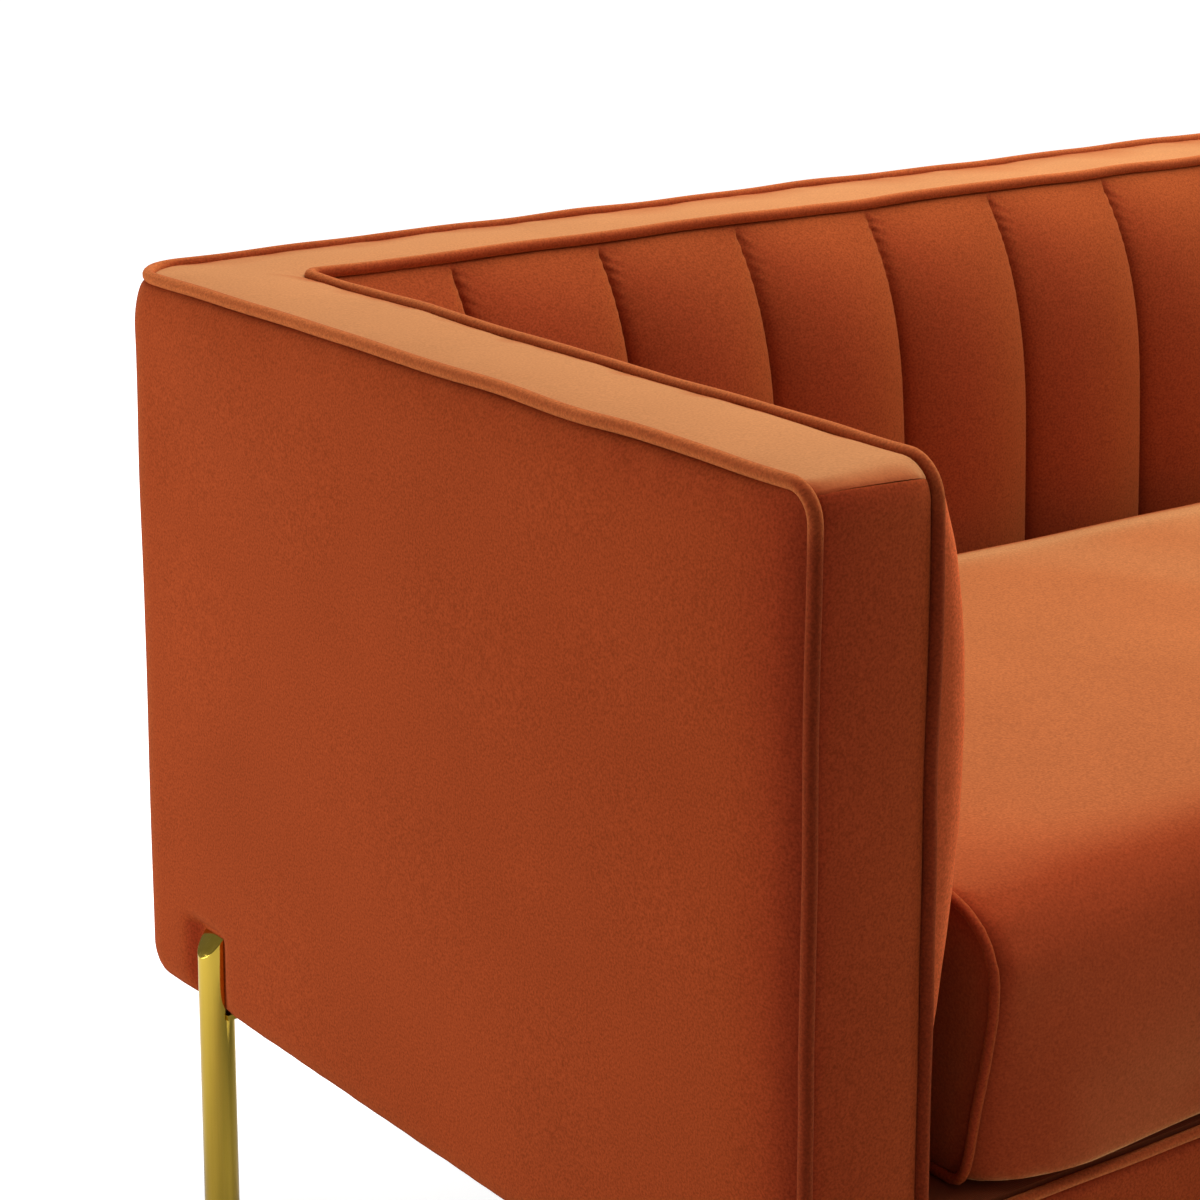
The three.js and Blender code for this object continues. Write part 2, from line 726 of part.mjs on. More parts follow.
// How far the seams, and the crests between them, of the channelled back stand forward at a height
function seamReach(z) {
  return backSwell * (1 - Math.exp(-Math.max(0, padTop - z) / backSwellReach));
}

function crestReach(z) {
  return channelCrown * (1 - Math.exp(-Math.max(0, padTop - z) / channelCrownReach));
}

function channelledBack() {
  const reach = innerX + padFoot;
  const lines = [];
  for (let i = 0; i < channelCount; i += 1) {
    const middle = (i - (channelCount - 1) / 2) * channelPitch;
    channelLineShares.forEach((u) => lines.push(middle + (u * channelPitch) / 2));
  }
  lines[0] = -reach;
  lines.push(reach);
  const columns = lines.filter((x) => Math.abs(x) <= reach);
  const tall = padTop - padBottom;
  const face = (s, t) => {
    const x = (2 * s - 1) * reach;
    const z = padBottom + t * tall;
    const u = Math.abs(x / channelPitch - Math.round(x / channelPitch)) * 2;
    const pillow = Math.sqrt(Math.max(0, 1 - u * u));
    return new THREE.Vector3(x, innerY - padLip - seamReach(z) - crestReach(z) * pillow, z);
  };
  const back = (s, t) => new THREE.Vector3((2 * s - 1) * reach, innerY + padFoot, padBottom + t * tall);
  return panel(columns.map((x) => (x / reach + 1) / 2), channelHeightShares, face, back);
}

// Upright profile of an inner arm pad, fullest a hand's breadth above the seat
function armPadRise(z) {
  const quarter = Math.PI / 2;
  if (z > armPadCrest) return Math.sin((quarter * (padTop - z)) / (padTop - armPadCrest)) ** armPadTopPower;
  return Math.cos((quarter * (armPadCrest - z)) / (armPadCrest - padBottom)) ** armPadFootPower;
}

function armPad() {
  const front = frameClear + innerFrontSetback - halfDepth;
  const tall = padTop - padBottom;
  const turn = innerFrontTurn - frameClear;
  const place = (s, t, offset) => {
    const z = padBottom + t * tall;
    const rear = innerY - padLip - seamReach(z) - crestReach(z) - cushionClearance;
    const [y, zz] = roundedAt(front + s * (rear - front), z, front, padTop, turn, [1, -1]);
    return new THREE.Vector3(-innerX + offset, y, zz);
  };
  const face = (s, t) => {
    const z = padBottom + t * tall;
    const rear = innerY - padLip - seamReach(z) - crestReach(z);
    const long = rear - front;
    const rise = roll(s * long, armPadFrontRoll) * roll((1 - s) * long, armPadRearRoll) * armPadRise(z);
    return place(s, t, padLip + (armPadCrown - padLip) * rise);
  };
  return panel(armPadLengthShares, armPadHeightShares, face, (s, t) => place(s, t, -padFoot));
}

// The D-shaped outline of the cushion across its length, drawn in at its ends
function cushionRing(x, inset) {
  const middle = 1 - (x / cushionEnd) ** 2;
  const near = roll(cushionEnd - Math.abs(x), cushionCrownReach);
  const front = -cushionFront - cushionCrown * near + inset;
  const back = cushionBack - inset;
  const top = cushionTop + cushionTopCrown * middle - inset;
  const ring = cushionNoseShares.map(([forward, up]) => {
    const lower = up > 0 && up < 0.5;
    const full = lower ? forward + (1 - forward) * cushionFootShare * near : forward;
    return new THREE.Vector3(x, front + cushionNose * (1 - full), cushionBottom + (top - cushionBottom) * up);
  });
  cushionBackShares.forEach(([within, down]) => {
    ring.push(new THREE.Vector3(x, back - cushionBackRoll * within, top - cushionBackRoll * down));
  });
  cushionHeelShares.forEach(([within, up]) => {
    ring.push(new THREE.Vector3(x, back - cushionBackRoll * within, cushionBottom + cushionBackRoll * up));
  });
  return ring;
}

function cushion() {
  const lines = cushionLengthShares.map((share) => share * cushionEnd);
  const stations = [...lines.map((x) => -x), 0, ...lines.reverse()];
  return loft(stations.map((x) => cushionRing(x, 0)));
}

function cushionPiping(side) {
  const clear = cushionPipingRadius + gap;
  const ring = cushionRing(cushionEnd, clear).slice(1, cushionNoseShares.length + 2);
  return ring.map((p) => new THREE.Vector3(side * (cushionEnd + clear), p.y, p.z));
}

function deck() {
  const reach = innerX + padFoot - gap;
  const low = [-reach, frameFront, deckBottom];
  const high = [reach, innerY + padFoot, deckTop];
  const shape = roundedRectangle(high[0] - low[0], high[1] - low[1], railEase);
  const pad = extruded(shape, deckThickness, 3);
  pad.translate((low[0] + high[0]) / 2, (low[1] + high[1]) / 2, deckBottom);
  add('seat_deck', merged(pad), darkVelvet);
}

function railCover() {
  const reach = innerX - frameClear - gap;
  const inner = frameFront - gap;
  const top = deckBottom - railPipingRadius - gap;
  const shape = new THREE.Shape();
  shape.moveTo(inner, coverBottom);
  shape.lineTo(inner, top);
  shape.lineTo(inner - frontRailCover / 2, top);
  shape.quadraticCurveTo(inner - frontRailCover, top, inner - frontRailCover, top - railCoverEase);
  shape.lineTo(inner - frontRailCover, coverBottom + railCoverEase);
  shape.quadraticCurveTo(inner - frontRailCover, coverBottom, inner - frontRailCover / 2, coverBottom);
  const cover = extruded(shape, 2 * reach, 4);
  acrossX(cover, 2 * reach);
  add('front_rail_cover', merged(cover), velvet);
}

// A leg: a hollow tube whose inner half is notched away under the body, with a bevelled tongue outside
function leg(side, end, word) {
  const bottom = glideHeight + gap;
  const top = bodyUnderside + legTop + bevelRise * legRadius;
  const profile = [
    [0, top], [legRadius, top], [legRadius, bottom],
    [legRadius - legWall, bottom], [legRadius - legWall, tubeTop - legWall], [0, tubeTop - legWall],
  ].map(([r, z]) => new THREE.Vector2(r, z));
  const tube = new THREE.LatheGeometry([...profile, profile[0]], tubeSides);
  tube.rotateX(Math.PI / 2);
  const notch = new THREE.BoxGeometry(4 * legRadius, 4 * legRadius, 2 * (top - tubeTop));
  notch.translate(2 * legRadius, 0, top);
  const bevel = new THREE.BoxGeometry(8 * legRadius, 4 * legRadius, 4 * legRadius);
  bevel.translate(0, 0, 2 * legRadius);
  bevel.rotateY(-Math.atan(bevelRise));
  bevel.translate(0, 0, bodyUnderside + legTop);
  const shaped = fromSolid(solid(tube).subtract(solid(notch)).subtract(solid(bevel)));
  shaped.translate(-legX, end * legPlace, 0);
  add(`leg_tube_${word}`, side < 0 ? shaped : mirroredX(shaped), brass, 0.3, 1);

  const outline = new THREE.Shape();
  outline.moveTo(gap, -plateHalfWidth);
  outline.lineTo(plateLength - plateCorner, -plateHalfWidth);
  outline.absarc(plateLength - plateCorner, plateCorner - plateHalfWidth, plateCorner, -Math.PI / 2, 0);
  outline.absarc(plateLength - plateCorner, plateHalfWidth - plateCorner, plateCorner, 0, Math.PI / 2);
  outline.lineTo(gap, plateHalfWidth);
  plateHoleShares.forEach((share) => {
    const hole = new THREE.Path();
    hole.absarc(share * plateLength, 0, screwHoleRadius, 0, 2 * Math.PI, true);
    outline.holes.push(hole);
  });
  const plate = extruded(outline, plateThickness, 4);
  plate.translate(-legX, end * legPlace, bodyUnderside - plateThickness);
  add(`leg_plate_${word}`, side < 0 ? merged(plate) : mirroredX(plate), brass, 0.35, 1);

  const stem = legRadius - legWall - gap;
  const foot = [
    [0, 0], [glideRadius - glideChamfer, 0], [glideRadius, glideChamfer], [glideRadius, glideHeight],
    [stem, glideHeight], [stem, glideHeight + glideStem], [0, glideHeight + glideStem],
  ].map(([r, z]) => new THREE.Vector2(r, z));
  const turned = new THREE.LatheGeometry(foot, glideSides);
  turned.rotateX(Math.PI / 2);
  const glide = outward(turned);
  glide.translate(-legX, end * legPlace, 0);
  add(`leg_glide_${word}`, side < 0 ? glide : mirroredX(glide), black, 0.6);
}

function dustCover() {
  const wide = 2 * (frameInnerX + dustCoverInset);
  const shape = roundedRectangle(wide, depth - 4 * dustCoverInset, dustCoverInset);
  const sheet = extruded(shape, dustCoverThickness, 4);
  sheet.translate(0, 0, bodyUnderside - dustCoverThickness - gap);
  add('dust_cover', merged(sheet), black, 0.95);
}

const rails = frame();
webbing(rails);
piping();
topBand();
frontPanels();
const outerArm = sidePad();
add('side_pad_left', outerArm, velvet);
add('side_pad_right', mirroredX(outerArm), velvet);
add('back_pad', backPad(), velvet);
add('channelled_back', channelledBack(), velvet);
const innerArm = armPad();
add('arm_pad_left', innerArm, velvet);
add('arm_pad_right', mirroredX(innerArm), velvet);
deck();
railCover();
add('seat_cushion', cushion(), velvet);
cord('cushion_piping_left', cushionPiping(-1), cushionPipingRadius);
cord('cushion_piping_right', cushionPiping(1), cushionPipingRadius);
leg(-1, -1, 'front_left');
leg(-1, 1, 'rear_left');
leg(1, -1, 'front_right');
leg(1, 1, 'rear_right');
dustCover();

export default sofa;
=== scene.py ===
# %% [markdown]
# A tuxedo sofa has arms as high as its back, so one flat padded band runs round all three sides. This one
# is covered in burnt orange velvet, with piping along every edge of the band, a channelled back, one loose
# bench cushion and slim brass legs. The timber, webbing and leg plates come from the construction model, and
# every soft part is made again here, in its own place, with its real fullness.

# %% Load the construction model
import math
import bpy
import numpy as np
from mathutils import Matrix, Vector, noise


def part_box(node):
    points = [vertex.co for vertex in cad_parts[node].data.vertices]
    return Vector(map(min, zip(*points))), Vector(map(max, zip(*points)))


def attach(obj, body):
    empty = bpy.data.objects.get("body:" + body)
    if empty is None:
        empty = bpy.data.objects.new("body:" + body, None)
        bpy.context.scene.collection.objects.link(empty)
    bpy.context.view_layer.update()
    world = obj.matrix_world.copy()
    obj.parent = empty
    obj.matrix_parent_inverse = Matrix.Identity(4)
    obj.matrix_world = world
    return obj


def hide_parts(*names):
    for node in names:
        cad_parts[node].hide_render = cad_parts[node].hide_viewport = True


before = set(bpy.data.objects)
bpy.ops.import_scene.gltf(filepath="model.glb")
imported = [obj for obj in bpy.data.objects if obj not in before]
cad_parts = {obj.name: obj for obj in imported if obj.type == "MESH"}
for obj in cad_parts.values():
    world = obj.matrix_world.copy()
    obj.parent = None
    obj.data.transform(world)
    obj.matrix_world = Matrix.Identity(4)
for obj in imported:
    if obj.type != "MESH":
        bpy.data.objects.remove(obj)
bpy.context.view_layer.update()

# %% [markdown]
# The sizes of the sofa are measured between the centres of its outer piping, because that is the line that
# an upholsterer marks first. Everything else is placed from them.

# %% Sizes in metres
MM = 0.001
HALF_WIDTH = 1040 * MM
HALF_DEPTH = 420 * MM
ARM = 101.6 * MM
TOP = 756 * MM
UNDER = 178 * MM
FRAME_UNDER = 173.5 * MM
PIPING = 4.85 * MM
CLEAR = 4.7 * MM
LIP = 1 * MM
INNER_X = HALF_WIDTH - ARM
INNER_Y = HALF_DEPTH - ARM
OUTER_CORNER = 45 * MM
INNER_CORNER = 12 * MM
OUTER_TURN = 22 * MM
INNER_TURN = 26 * MM
INNER_SETBACK = 7 * MM
PAD_TOP = TOP - CLEAR
PAD_BOTTOM = 262.3 * MM
FOOT = 4.6 * MM
LEG_X = 1042 * MM
LEG_Y = 306 * MM
LEG_RADIUS = 14 * MM
print("sofa", 2 * HALF_WIDTH, "by", 2 * HALF_DEPTH, "m between pipings")

# %% [markdown]
# The photograph was taken from the front left, well above the arm, with a long lens. The camera stands where
# the converging lines of the arm and the back meet it. A little of the downward look is given by the lens
# shift, which keeps the uprights closer to upright.

# %% Camera
CAMERA_PLACE = (-2174.5 * MM, -1763.2 * MM, 1218.6 * MM)
CAMERA_HEADING = 36.139
CAMERA_DOWN = 12.414
CAMERA_LENS = 94.33
CAMERA_SHIFT = -0.2

camera_data = bpy.data.cameras.new("camera")
camera_data.sensor_width = 36
camera_data.lens = CAMERA_LENS
camera_data.shift_y = CAMERA_SHIFT
camera = bpy.data.objects.new("camera", camera_data)
bpy.context.scene.collection.objects.link(camera)
camera.location = CAMERA_PLACE
camera.rotation_euler = (math.radians(90 - CAMERA_DOWN), 0, math.radians(-CAMERA_HEADING))
bpy.context.scene.camera = camera
print("camera at", tuple(round(v, 3) for v in camera.location))

# %% [markdown]
# The light is a studio's. One broad soft lamp hangs high over the sofa, and a weaker one stands behind it. A
# third stands behind the left end. It grazes the arm's side, so that the cloth falls dark where it turns to the
# front, and the back keeps it off the channels. A fourth stands to the right, and picks out the right-hand
# side of each channel. A pale world fills the shadows.

# %% Lights, world and floor
def soft_lamp(name, place, target, size, power, colour=(1, 1, 1)):
    data = bpy.data.lights.new(name, "AREA")
    data.shape = "RECTANGLE"
    data.size, data.size_y = size
    data.energy = power
    data.color = colour
    lamp = bpy.data.objects.new(name, data)
    bpy.context.scene.collection.objects.link(lamp)
    lamp.location = place
    aim = Vector(target) - Vector(place)
    lamp.rotation_euler = aim.to_track_quat("-Z", "Y").to_euler()
    return lamp


soft_lamp("overhead_softbox", (0.3, 0.2, 3.0), (-0.2, 0.1, 0.4), (3.2, 2.2), 108, (1, 0.99, 0.97))
soft_lamp("rear_softbox", (0.6, 3.4, 2.1), (-0.2, 0, 0.5), (3.2, 1.6), 36)
soft_lamp("left_softbox", (-3.4, 1.65, 0.65), (-1.0, 0, 0.35), (1.6, 0.9), 57)
soft_lamp("right_softbox", (3.4, -0.9, 1.7), (0.2, 0.2, 0.5), (2.0, 1.8), 42)
soft_lamp("front_fill", (-0.6, -4.2, 1.5), (0, 0, 0.45), (3, 2), 4)

world = bpy.data.worlds.new("studio")
bpy.context.scene.world = world
world.use_nodes = True
world.node_tree.nodes["Background"].inputs["Color"].default_value = (1, 1, 1, 1)
SKY = 0.17

view_settings = bpy.context.scene.view_settings
view_settings.view_transform = "Standard"


# %% [markdown]
# Finishes are written as small node trees. One function adds a node, changes its settings, and gives each of
# its inputs a plain value or a link from another node. A helper then keeps each finish short.

# %% A helper for finishes
def give(tree, socket, value):
    """Gives a socket a plain value, or a link from another node."""
    if isinstance(value, bpy.types.NodeSocket):
        tree.links.new(value, socket)
    else:
        socket.default_value = value


def add_node(tree, kind, inputs=None, **settings):
    """Adds a node and returns its outputs."""
    made = tree.nodes.new(kind)
    for key, value in settings.items():
        setattr(made, key, value)
    for key, value in (inputs or {}).items():
        give(tree, made.inputs[key], value)
    return made.outputs


def stretched(tree, source, start, end, low, high):
    """Stretches the part of a value between start and end over the range from low to high."""
    ends = {"Value": source, "From Min": start, "From Max": end, "To Min": low, "To Max": high}
    return add_node(tree, "ShaderNodeMapRange", ends)["Result"]


class Finish:
    def __init__(self, name):
        self.material = bpy.data.materials.new(name)
        self.material.use_nodes = True
        self.tree = self.material.node_tree
        self.shader = self.tree.nodes["Principled BSDF"]
        self.place = self.node("ShaderNodeTexCoord")["Object"]

    def node(self, kind, inputs=None, **settings):
        return add_node(self.tree, kind, inputs, **settings)

    def set(self, **values):
        for key, value in values.items():
            give(self.tree, self.shader.inputs[key.replace("_", " ")], value)

    def stretched_place(self, scale):
        return self.node("ShaderNodeMapping", {"Vector": self.place, "Scale": scale})["Vector"]

    def noise(self, scale, detail=2.0, roughness=0.5, stretch=None):
        place = self.stretched_place(stretch) if stretch else self.place
        inputs = {"Vector": place, "Scale": scale, "Detail": detail, "Roughness": roughness}
        return self.node("ShaderNodeTexNoise", inputs)["Fac"]

    def ramp(self, source, stops):
        """Turns a value into a colour. Each stop is a place on the ramp and its red, green and blue."""
        colour = self.node("ShaderNodeValToRGB", {"Fac": source})["Color"]
        band = colour.node.color_ramp
        first, *middle, last = stops
        for element, stop in zip(band.elements, (first, last)):
            element.position, element.color = stop[0], (*stop[1:], 1)
        for stop in middle:
            band.elements.new(stop[0]).color = (*stop[1:], 1)
        return colour

    def spread(self, source, low, high):
        """Stretches the middle of a noise over a range of values."""
        return stretched(self.tree, source, 0.3, 0.7, low, high)

    def times(self, first, second):
        return self.node("ShaderNodeMath", {0: first, 1: second}, operation="MULTIPLY")["Value"]

    def bump(self, *heights):
        """Raises the surface by fine patterns, each with its strength and its height in metres."""
        below = {}
        for source, strength, distance in heights:
            inputs = {"Height": source, "Strength": strength, "Distance": distance, **below}
            below = {"Normal": self.node("ShaderNodeBump", inputs)["Normal"]}
        self.set(**below)


# %% [markdown]
# Velvet is a short dense pile. Seen straight on, the eye looks down between its hairs, and the colour is deep
# and saturated. Seen along the surface, it meets the sides of the hairs, which are paler and more golden. So
# the base colour carries a painted sheen: it follows how far the surface turns away from the eye. The level
# pieces get paler copies of the colour, even straight on, as a painted top light. The pile is never quite even:
# its tone drifts over a hand's breadth, and a fine grain breaks it up, less on the level pieces. Where a piece
# turns in to an upright seam, its colour is mixed towards a darker one, a painted shade, and an attribute of the
# piece says how much.

# %% Velvet
# Painted shade: the colour that the velvet is mixed towards where a piece turns in to a seam.
SEAM_SHADE_COLOUR = (0.205, 0.026, 0.0080, 1)


def velvet(name, colour_and_painted_sheen, grain=0.26):
    finish = Finish(name)
    # The base colour below is a painted sheen: a ramp over how far the surface turns from the eye.
    turned = finish.node("ShaderNodeLayerWeight", {"Blend": 0.5})["Facing"]
    drift = finish.spread(finish.noise(5.5, 3.0, 0.55), 0.95, 1.05)
    speck = finish.spread(finish.noise(560.0, 2.0, 0.6), 1 - grain, 1 + grain)
    painted_seam_shade = finish.node("ShaderNodeAttribute", attribute_name="painted_seam_shade")["Fac"]
    colours = {"Fac": painted_seam_shade, "Color1": finish.ramp(turned, colour_and_painted_sheen), "Color2": SEAM_SHADE_COLOUR}
    colour = finish.node("ShaderNodeMixRGB", colours)["Color"]
    toned = {0: colour, "Scale": finish.times(drift, speck)}
    toned = finish.node("ShaderNodeVectorMath", toned, operation="SCALE")["Vector"]
    finish.set(Base_Color=toned, Roughness=0.95, Specular_IOR_Level=0.03)
    finish.bump((finish.noise(38.0, 3.0, 0.5), 0.10, 0.0012), (finish.noise(1100.0, 2.0, 0.6), 0.30, 0.0003))
    return finish.material


# %% [markdown]
# Each ramp gives the colour from straight on (0) to along the surface (1), with its painted sheen. The level
# pieces and the top band turn golden early, a painted top light. The inside of the arms turns bright, a painted
# light from the right. The very rim is deeper again, partly because there the hairs of the near side hide the
# rest and partly as painted shade along the edges.

# %% The velvet's colours, with painted sheen and light
DEEP = (0.308, 0.04, 0.0118)
VELVET = velvet("velvet", [(0.2, *DEEP), (0.42, 0.328, 0.053, 0.0128), (0.8, 0.345, 0.066, 0.0175),
                           (1.0, 0.3, 0.05, 0.014)])
CHANNEL_VELVET = velvet("velvet_channels", [
    (0.2, 0.306, 0.05, 0.0142), (0.42, 0.326, 0.065, 0.016), (0.8, 0.345, 0.08, 0.021), (1.0, 0.3, 0.058, 0.016)])
# Painted top light: the cushion gets a paler copy of the velvet.
LEVEL_VELVET_PAINTED_TOP_LIGHT = velvet("velvet_cushion", [
    (0.1, 0.325, 0.044, 0.0128), (0.32, 0.345, 0.056, 0.0158), (0.6, 0.405, 0.104, 0.0325),
    (0.72, 0.44, 0.136, 0.044), (0.77, 0.5, 0.21, 0.08), (0.83, 0.5, 0.21, 0.08),
    (0.91, 0.4, 0.11, 0.034), (1.0, 0.33, 0.06, 0.018)], 0.2)
# Painted top light: the band gets a paler copy of the velvet.
BAND_VELVET_PAINTED_TOP_LIGHT = velvet("velvet_band", [
    (0.1, 0.345, 0.062, 0.018), (0.28, 0.37, 0.074, 0.0225), (0.48, 0.43, 0.12, 0.0395),
    (0.64, 0.5, 0.2, 0.076), (0.84, 0.5, 0.21, 0.08), (0.92, 0.4, 0.11, 0.034),
    (1.0, 0.33, 0.06, 0.018)], 0.11)
# Painted light from the right: the inside of the arms gets a much brighter copy of the velvet.
ARM_VELVET_PAINTED_SIDE_LIGHT = velvet("velvet_inner_arm", [
    (0.2, *DEEP), (0.4, 0.43, 0.076, 0.0215), (0.6, 0.63, 0.122, 0.037), (0.8, 0.76, 0.155, 0.047),
    (1.0, 0.78, 0.165, 0.05)])
PIPING_VELVET = velvet("velvet_piping", [
    (0.2, 0.335, 0.058, 0.016), (0.6, 0.45, 0.12, 0.034), (0.85, 0.45, 0.12, 0.034), (1.0, 0.33, 0.06, 0.016)])
print("velvets:", [m.name for m in bpy.data.materials if m.name.startswith("velvet")])


# %% [markdown]
# The brass of the legs is brushed along the tube, which leaves faint upright streaks. Timber, webbing, deck cloth,
# dust cloth and nylon are hidden in use, and show when the cushion is lifted or the sofa is turned over.

# %% Brass and the hidden finishes
def satin_brass():
    finish = Finish("satin_brass")
    streaks = finish.noise(1.0, 3.0, 0.55, (330, 330, 6))
    colour = finish.ramp(streaks, [(0.3, 0.63, 0.435, 0.058), (0.7, 0.68, 0.47, 0.070)])
    finish.set(Base_Color=colour, Roughness=finish.spread(streaks, 0.10, 0.15), Metallic=1.0)
    finish.bump((streaks, 0.03, 0.0001))
    return finish.material


def planed_timber():
    finish = Finish("planed_timber")
    grain = {"Vector": finish.stretched_place((0.35, 2.6, 2.6)), "Scale": 9, "Distortion": 5, "Detail": 3}
    rings = finish.node("ShaderNodeTexWave", grain, wave_type="RINGS", rings_direction="X")["Fac"]
    colour = finish.ramp(rings, [(0.1, 0.40, 0.25, 0.12), (0.9, 0.60, 0.43, 0.25)])
    finish.set(Base_Color=colour, Roughness=0.62, Specular_IOR_Level=0.3)
    finish.bump((finish.noise(220.0, 3.0, 0.6, (0.1, 1, 1)), 0.2, 0.0004))
    return finish.material


def woven(name, dark, light, threads):
    finish = Finish(name)
    across, along = (finish.node("ShaderNodeTexWave", {"Vector": finish.place, "Scale": threads},
                                 wave_type="BANDS", bands_direction=way)["Fac"] for way in "XY")
    cross = finish.times(across, along)
    colour = finish.ramp(cross, [(0.0, *dark), (1.0, *light)])
    finish.set(Base_Color=colour, Roughness=0.9, Specular_IOR_Level=0.15)
    finish.bump((cross, 0.4, 0.0004))
    return finish.material


def moulded_nylon():
    finish = Finish("moulded_nylon")
    speckle = finish.noise(380.0, 2.0, 0.5)
    colour = finish.ramp(speckle, [(0.3, 0.022, 0.022, 0.022), (0.7, 0.034, 0.034, 0.034)])
    finish.set(Base_Color=colour, Roughness=0.5, Specular_IOR_Level=0.4)
    finish.bump((speckle, 0.1, 0.0002))
    return finish.material


BRASS = satin_brass()
TIMBER = planed_timber()
WEBBING = woven("elastic_webbing", (0.012, 0.012, 0.012), (0.06, 0.055, 0.05), 160)
DECK_CLOTH = woven("deck_cloth", (0.17, 0.035, 0.010), (0.27, 0.06, 0.017), 260)
DUST_CLOTH = woven("dust_cloth", (0.010, 0.010, 0.010), (0.03, 0.03, 0.03), 210)
NYLON = moulded_nylon()
print("finishes:", len(bpy.data.materials))

# %% [markdown]
# Timber rails, webbing, leg plates and glides have their right shape already, so they keep their solids and
# only get a finish.

# %% Finish the pieces that stay
def dress(piece, material):
    piece.data.materials.clear()
    piece.data.materials.append(material)


KEPT = {"rail": TIMBER, "post": TIMBER, "upright": TIMBER, "stretcher": TIMBER, "block": TIMBER,
        "webbing": WEBBING, "leg_plate": BRASS, "leg_glide": NYLON}
SOFT = ("cover", "piping")
kept = 0
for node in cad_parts:
    if any(word in node for word in SOFT):
        continue
    for word, material in KEPT.items():
        if word in node:
            dress(bpy.data.objects[node], material)
            kept += 1
            break
print("solids kept:", kept)


# %% [markdown]
# A few curves are used again and again. A roll rises from an edge like a quarter of an ellipse, and a slow roll
# less steeply. An ease goes smoothly from nothing to full. A pucker is nothing at the very seam, strongest
# close to it, and dies away. Slow waves stand for the small unevenness of hand upholstery.

# %% Curves of upholstery
def roll(distance, length):
    short = np.clip(1 - np.maximum(distance, 0) / length, 0, 1)
    return np.sqrt(np.maximum(0, 1 - short ** 2))


def slow_roll(distance, length):
    return 1 - np.clip(1 - np.maximum(distance, 0) / length, 0, 1) ** 3


def ease(share):
    share = np.clip(share, 0, 1)
    return share * share * (3 - 2 * share)


def pucker(edge, reach, start):
    return np.exp(-edge / reach) * (1 - np.exp(-edge / start))


def waves(a, b, length, seed):
    """A slow unevenness between about -1 and 1, which never quite repeats."""
    phase = seed * 2.399
    k = 2 * np.pi / length
    first = np.sin(k * a + 1.7 * phase) * np.cos(0.83 * k * b + phase)
    second = np.sin(0.61 * k * a - 1.31 * k * b + 2.3 * phase)
    third = np.sin(1.73 * k * a + 0.57 * k * b - phase)
    return (first + 0.7 * second + 0.45 * third) / 2.15


# %% [markdown]
# A grid's lines needn't be evenly spaced. Crowding puts more of them near the edges, where the cloth bends
# most, and gathering puts more round chosen places. A rounded corner pulls in what lies outside a piping's turn.

# %% Where the grid's lines go
def crowd(share, amount=0.6):
    return share - amount * np.sin(2 * np.pi * share) / (2 * np.pi)


def gather(share, length, places, reach, strength):
    """Spreads lines over a length, with more of them round some places on it."""
    ruler = np.linspace(0, length, 2001)
    crowding = 1 + sum(strength * np.exp(-((ruler - place) / reach) ** 2) for place in places)
    total = np.concatenate([[0], np.cumsum((crowding[1:] + crowding[:-1]) / 2)])
    return np.interp(share, total / total[-1], ruler)


def rounded_corner(y, z, corner_y, corner_z, radius):
    centre_y = corner_y + radius
    centre_z = corner_z - radius
    dy, dz = y - centre_y, z - centre_z
    reach = np.maximum(np.hypot(dy, dz), 1e-9)
    outside = (dy < 0) & (dz > 0) & (reach > radius)
    pull = np.where(outside, radius / reach, 1)
    return centre_y + dy * pull, centre_z + dz * pull


# %% [markdown]
# Operators act on what is selected, so everything is deselected before each new piece. The places of a
# piece's points are read as rows of x, y and z, changed all at once, and written back.

# %% Selecting a piece and moving its points
def deselect():
    if bpy.context.object and bpy.context.object.mode != "OBJECT":
        bpy.ops.object.mode_set(mode="OBJECT")
    bpy.ops.object.select_all(action="DESELECT")


def pick(piece):
    deselect()
    piece.select_set(True)
    bpy.context.view_layer.objects.active = piece


def read_places(piece):
    places = np.empty(len(piece.data.vertices) * 3)
    piece.data.vertices.foreach_get("co", places)
    return places.reshape(-1, 3)


def write_places(piece, places):
    piece.data.vertices.foreach_set("co", places.ravel())
    piece.data.update()


def edit_all():
    bpy.ops.object.mode_set(mode="EDIT")
    bpy.ops.mesh.select_all(action="SELECT")


def tidy_normals(piece):
    pick(piece)
    edit_all()
    bpy.ops.mesh.normals_make_consistent(inside=False)
    bpy.ops.object.mode_set(mode="OBJECT")
    bpy.ops.object.shade_smooth_by_angle(angle=math.radians(50))


# %% [markdown]
# A padded panel is a soft face over a flatter back. It starts as two grids, one above the other, whose borders
# are bridged into one closed skin. Each corner of the grid then moves to where a formula for that panel puts
# it, so the crown, the drawn-in edges and the small puckers are all in the mesh itself.

# %% Padded panels
def panel(name, columns, rows, face, back):
    """A closed skin between two formulas, which give x, y and z for s and t from 0 to 1."""
    deselect()
    bpy.ops.mesh.primitive_grid_add(x_subdivisions=columns, y_subdivisions=rows, size=1)
    piece = bpy.context.object
    piece.name = name
    edit_all()
    bpy.ops.mesh.duplicate()
    bpy.ops.transform.translate(value=(0, 0, -1))
    bpy.ops.mesh.select_all(action="DESELECT")
    bpy.ops.mesh.select_non_manifold()
    bpy.ops.mesh.bridge_edge_loops()
    bpy.ops.object.mode_set(mode="OBJECT")
    places = read_places(piece)
    s = np.clip(places[:, 0] + 0.5, 0, 1)
    t = np.clip(places[:, 1] + 0.5, 0, 1)
    under = places[:, 2] < -0.5
    write_places(piece, np.where(under[:, None], np.stack(back(s, t), 1), np.stack(face(s, t), 1)))
    tidy_normals(piece)
    return piece


# %% [markdown]
# Every finished piece gets its material, rides on its body and replaces its solid. No upholsterer pulls a long
# edge quite straight, so the pieces that meet along the top all sway together, by about a millimetre. Where
# a piece is painted darker as shade, it stores how much.

# %% Fitting the pieces
FRAME = "sofa_frame"
CUSHION = "seat_cushion"
SIDES = ((-1, "left"), (1, "right"))


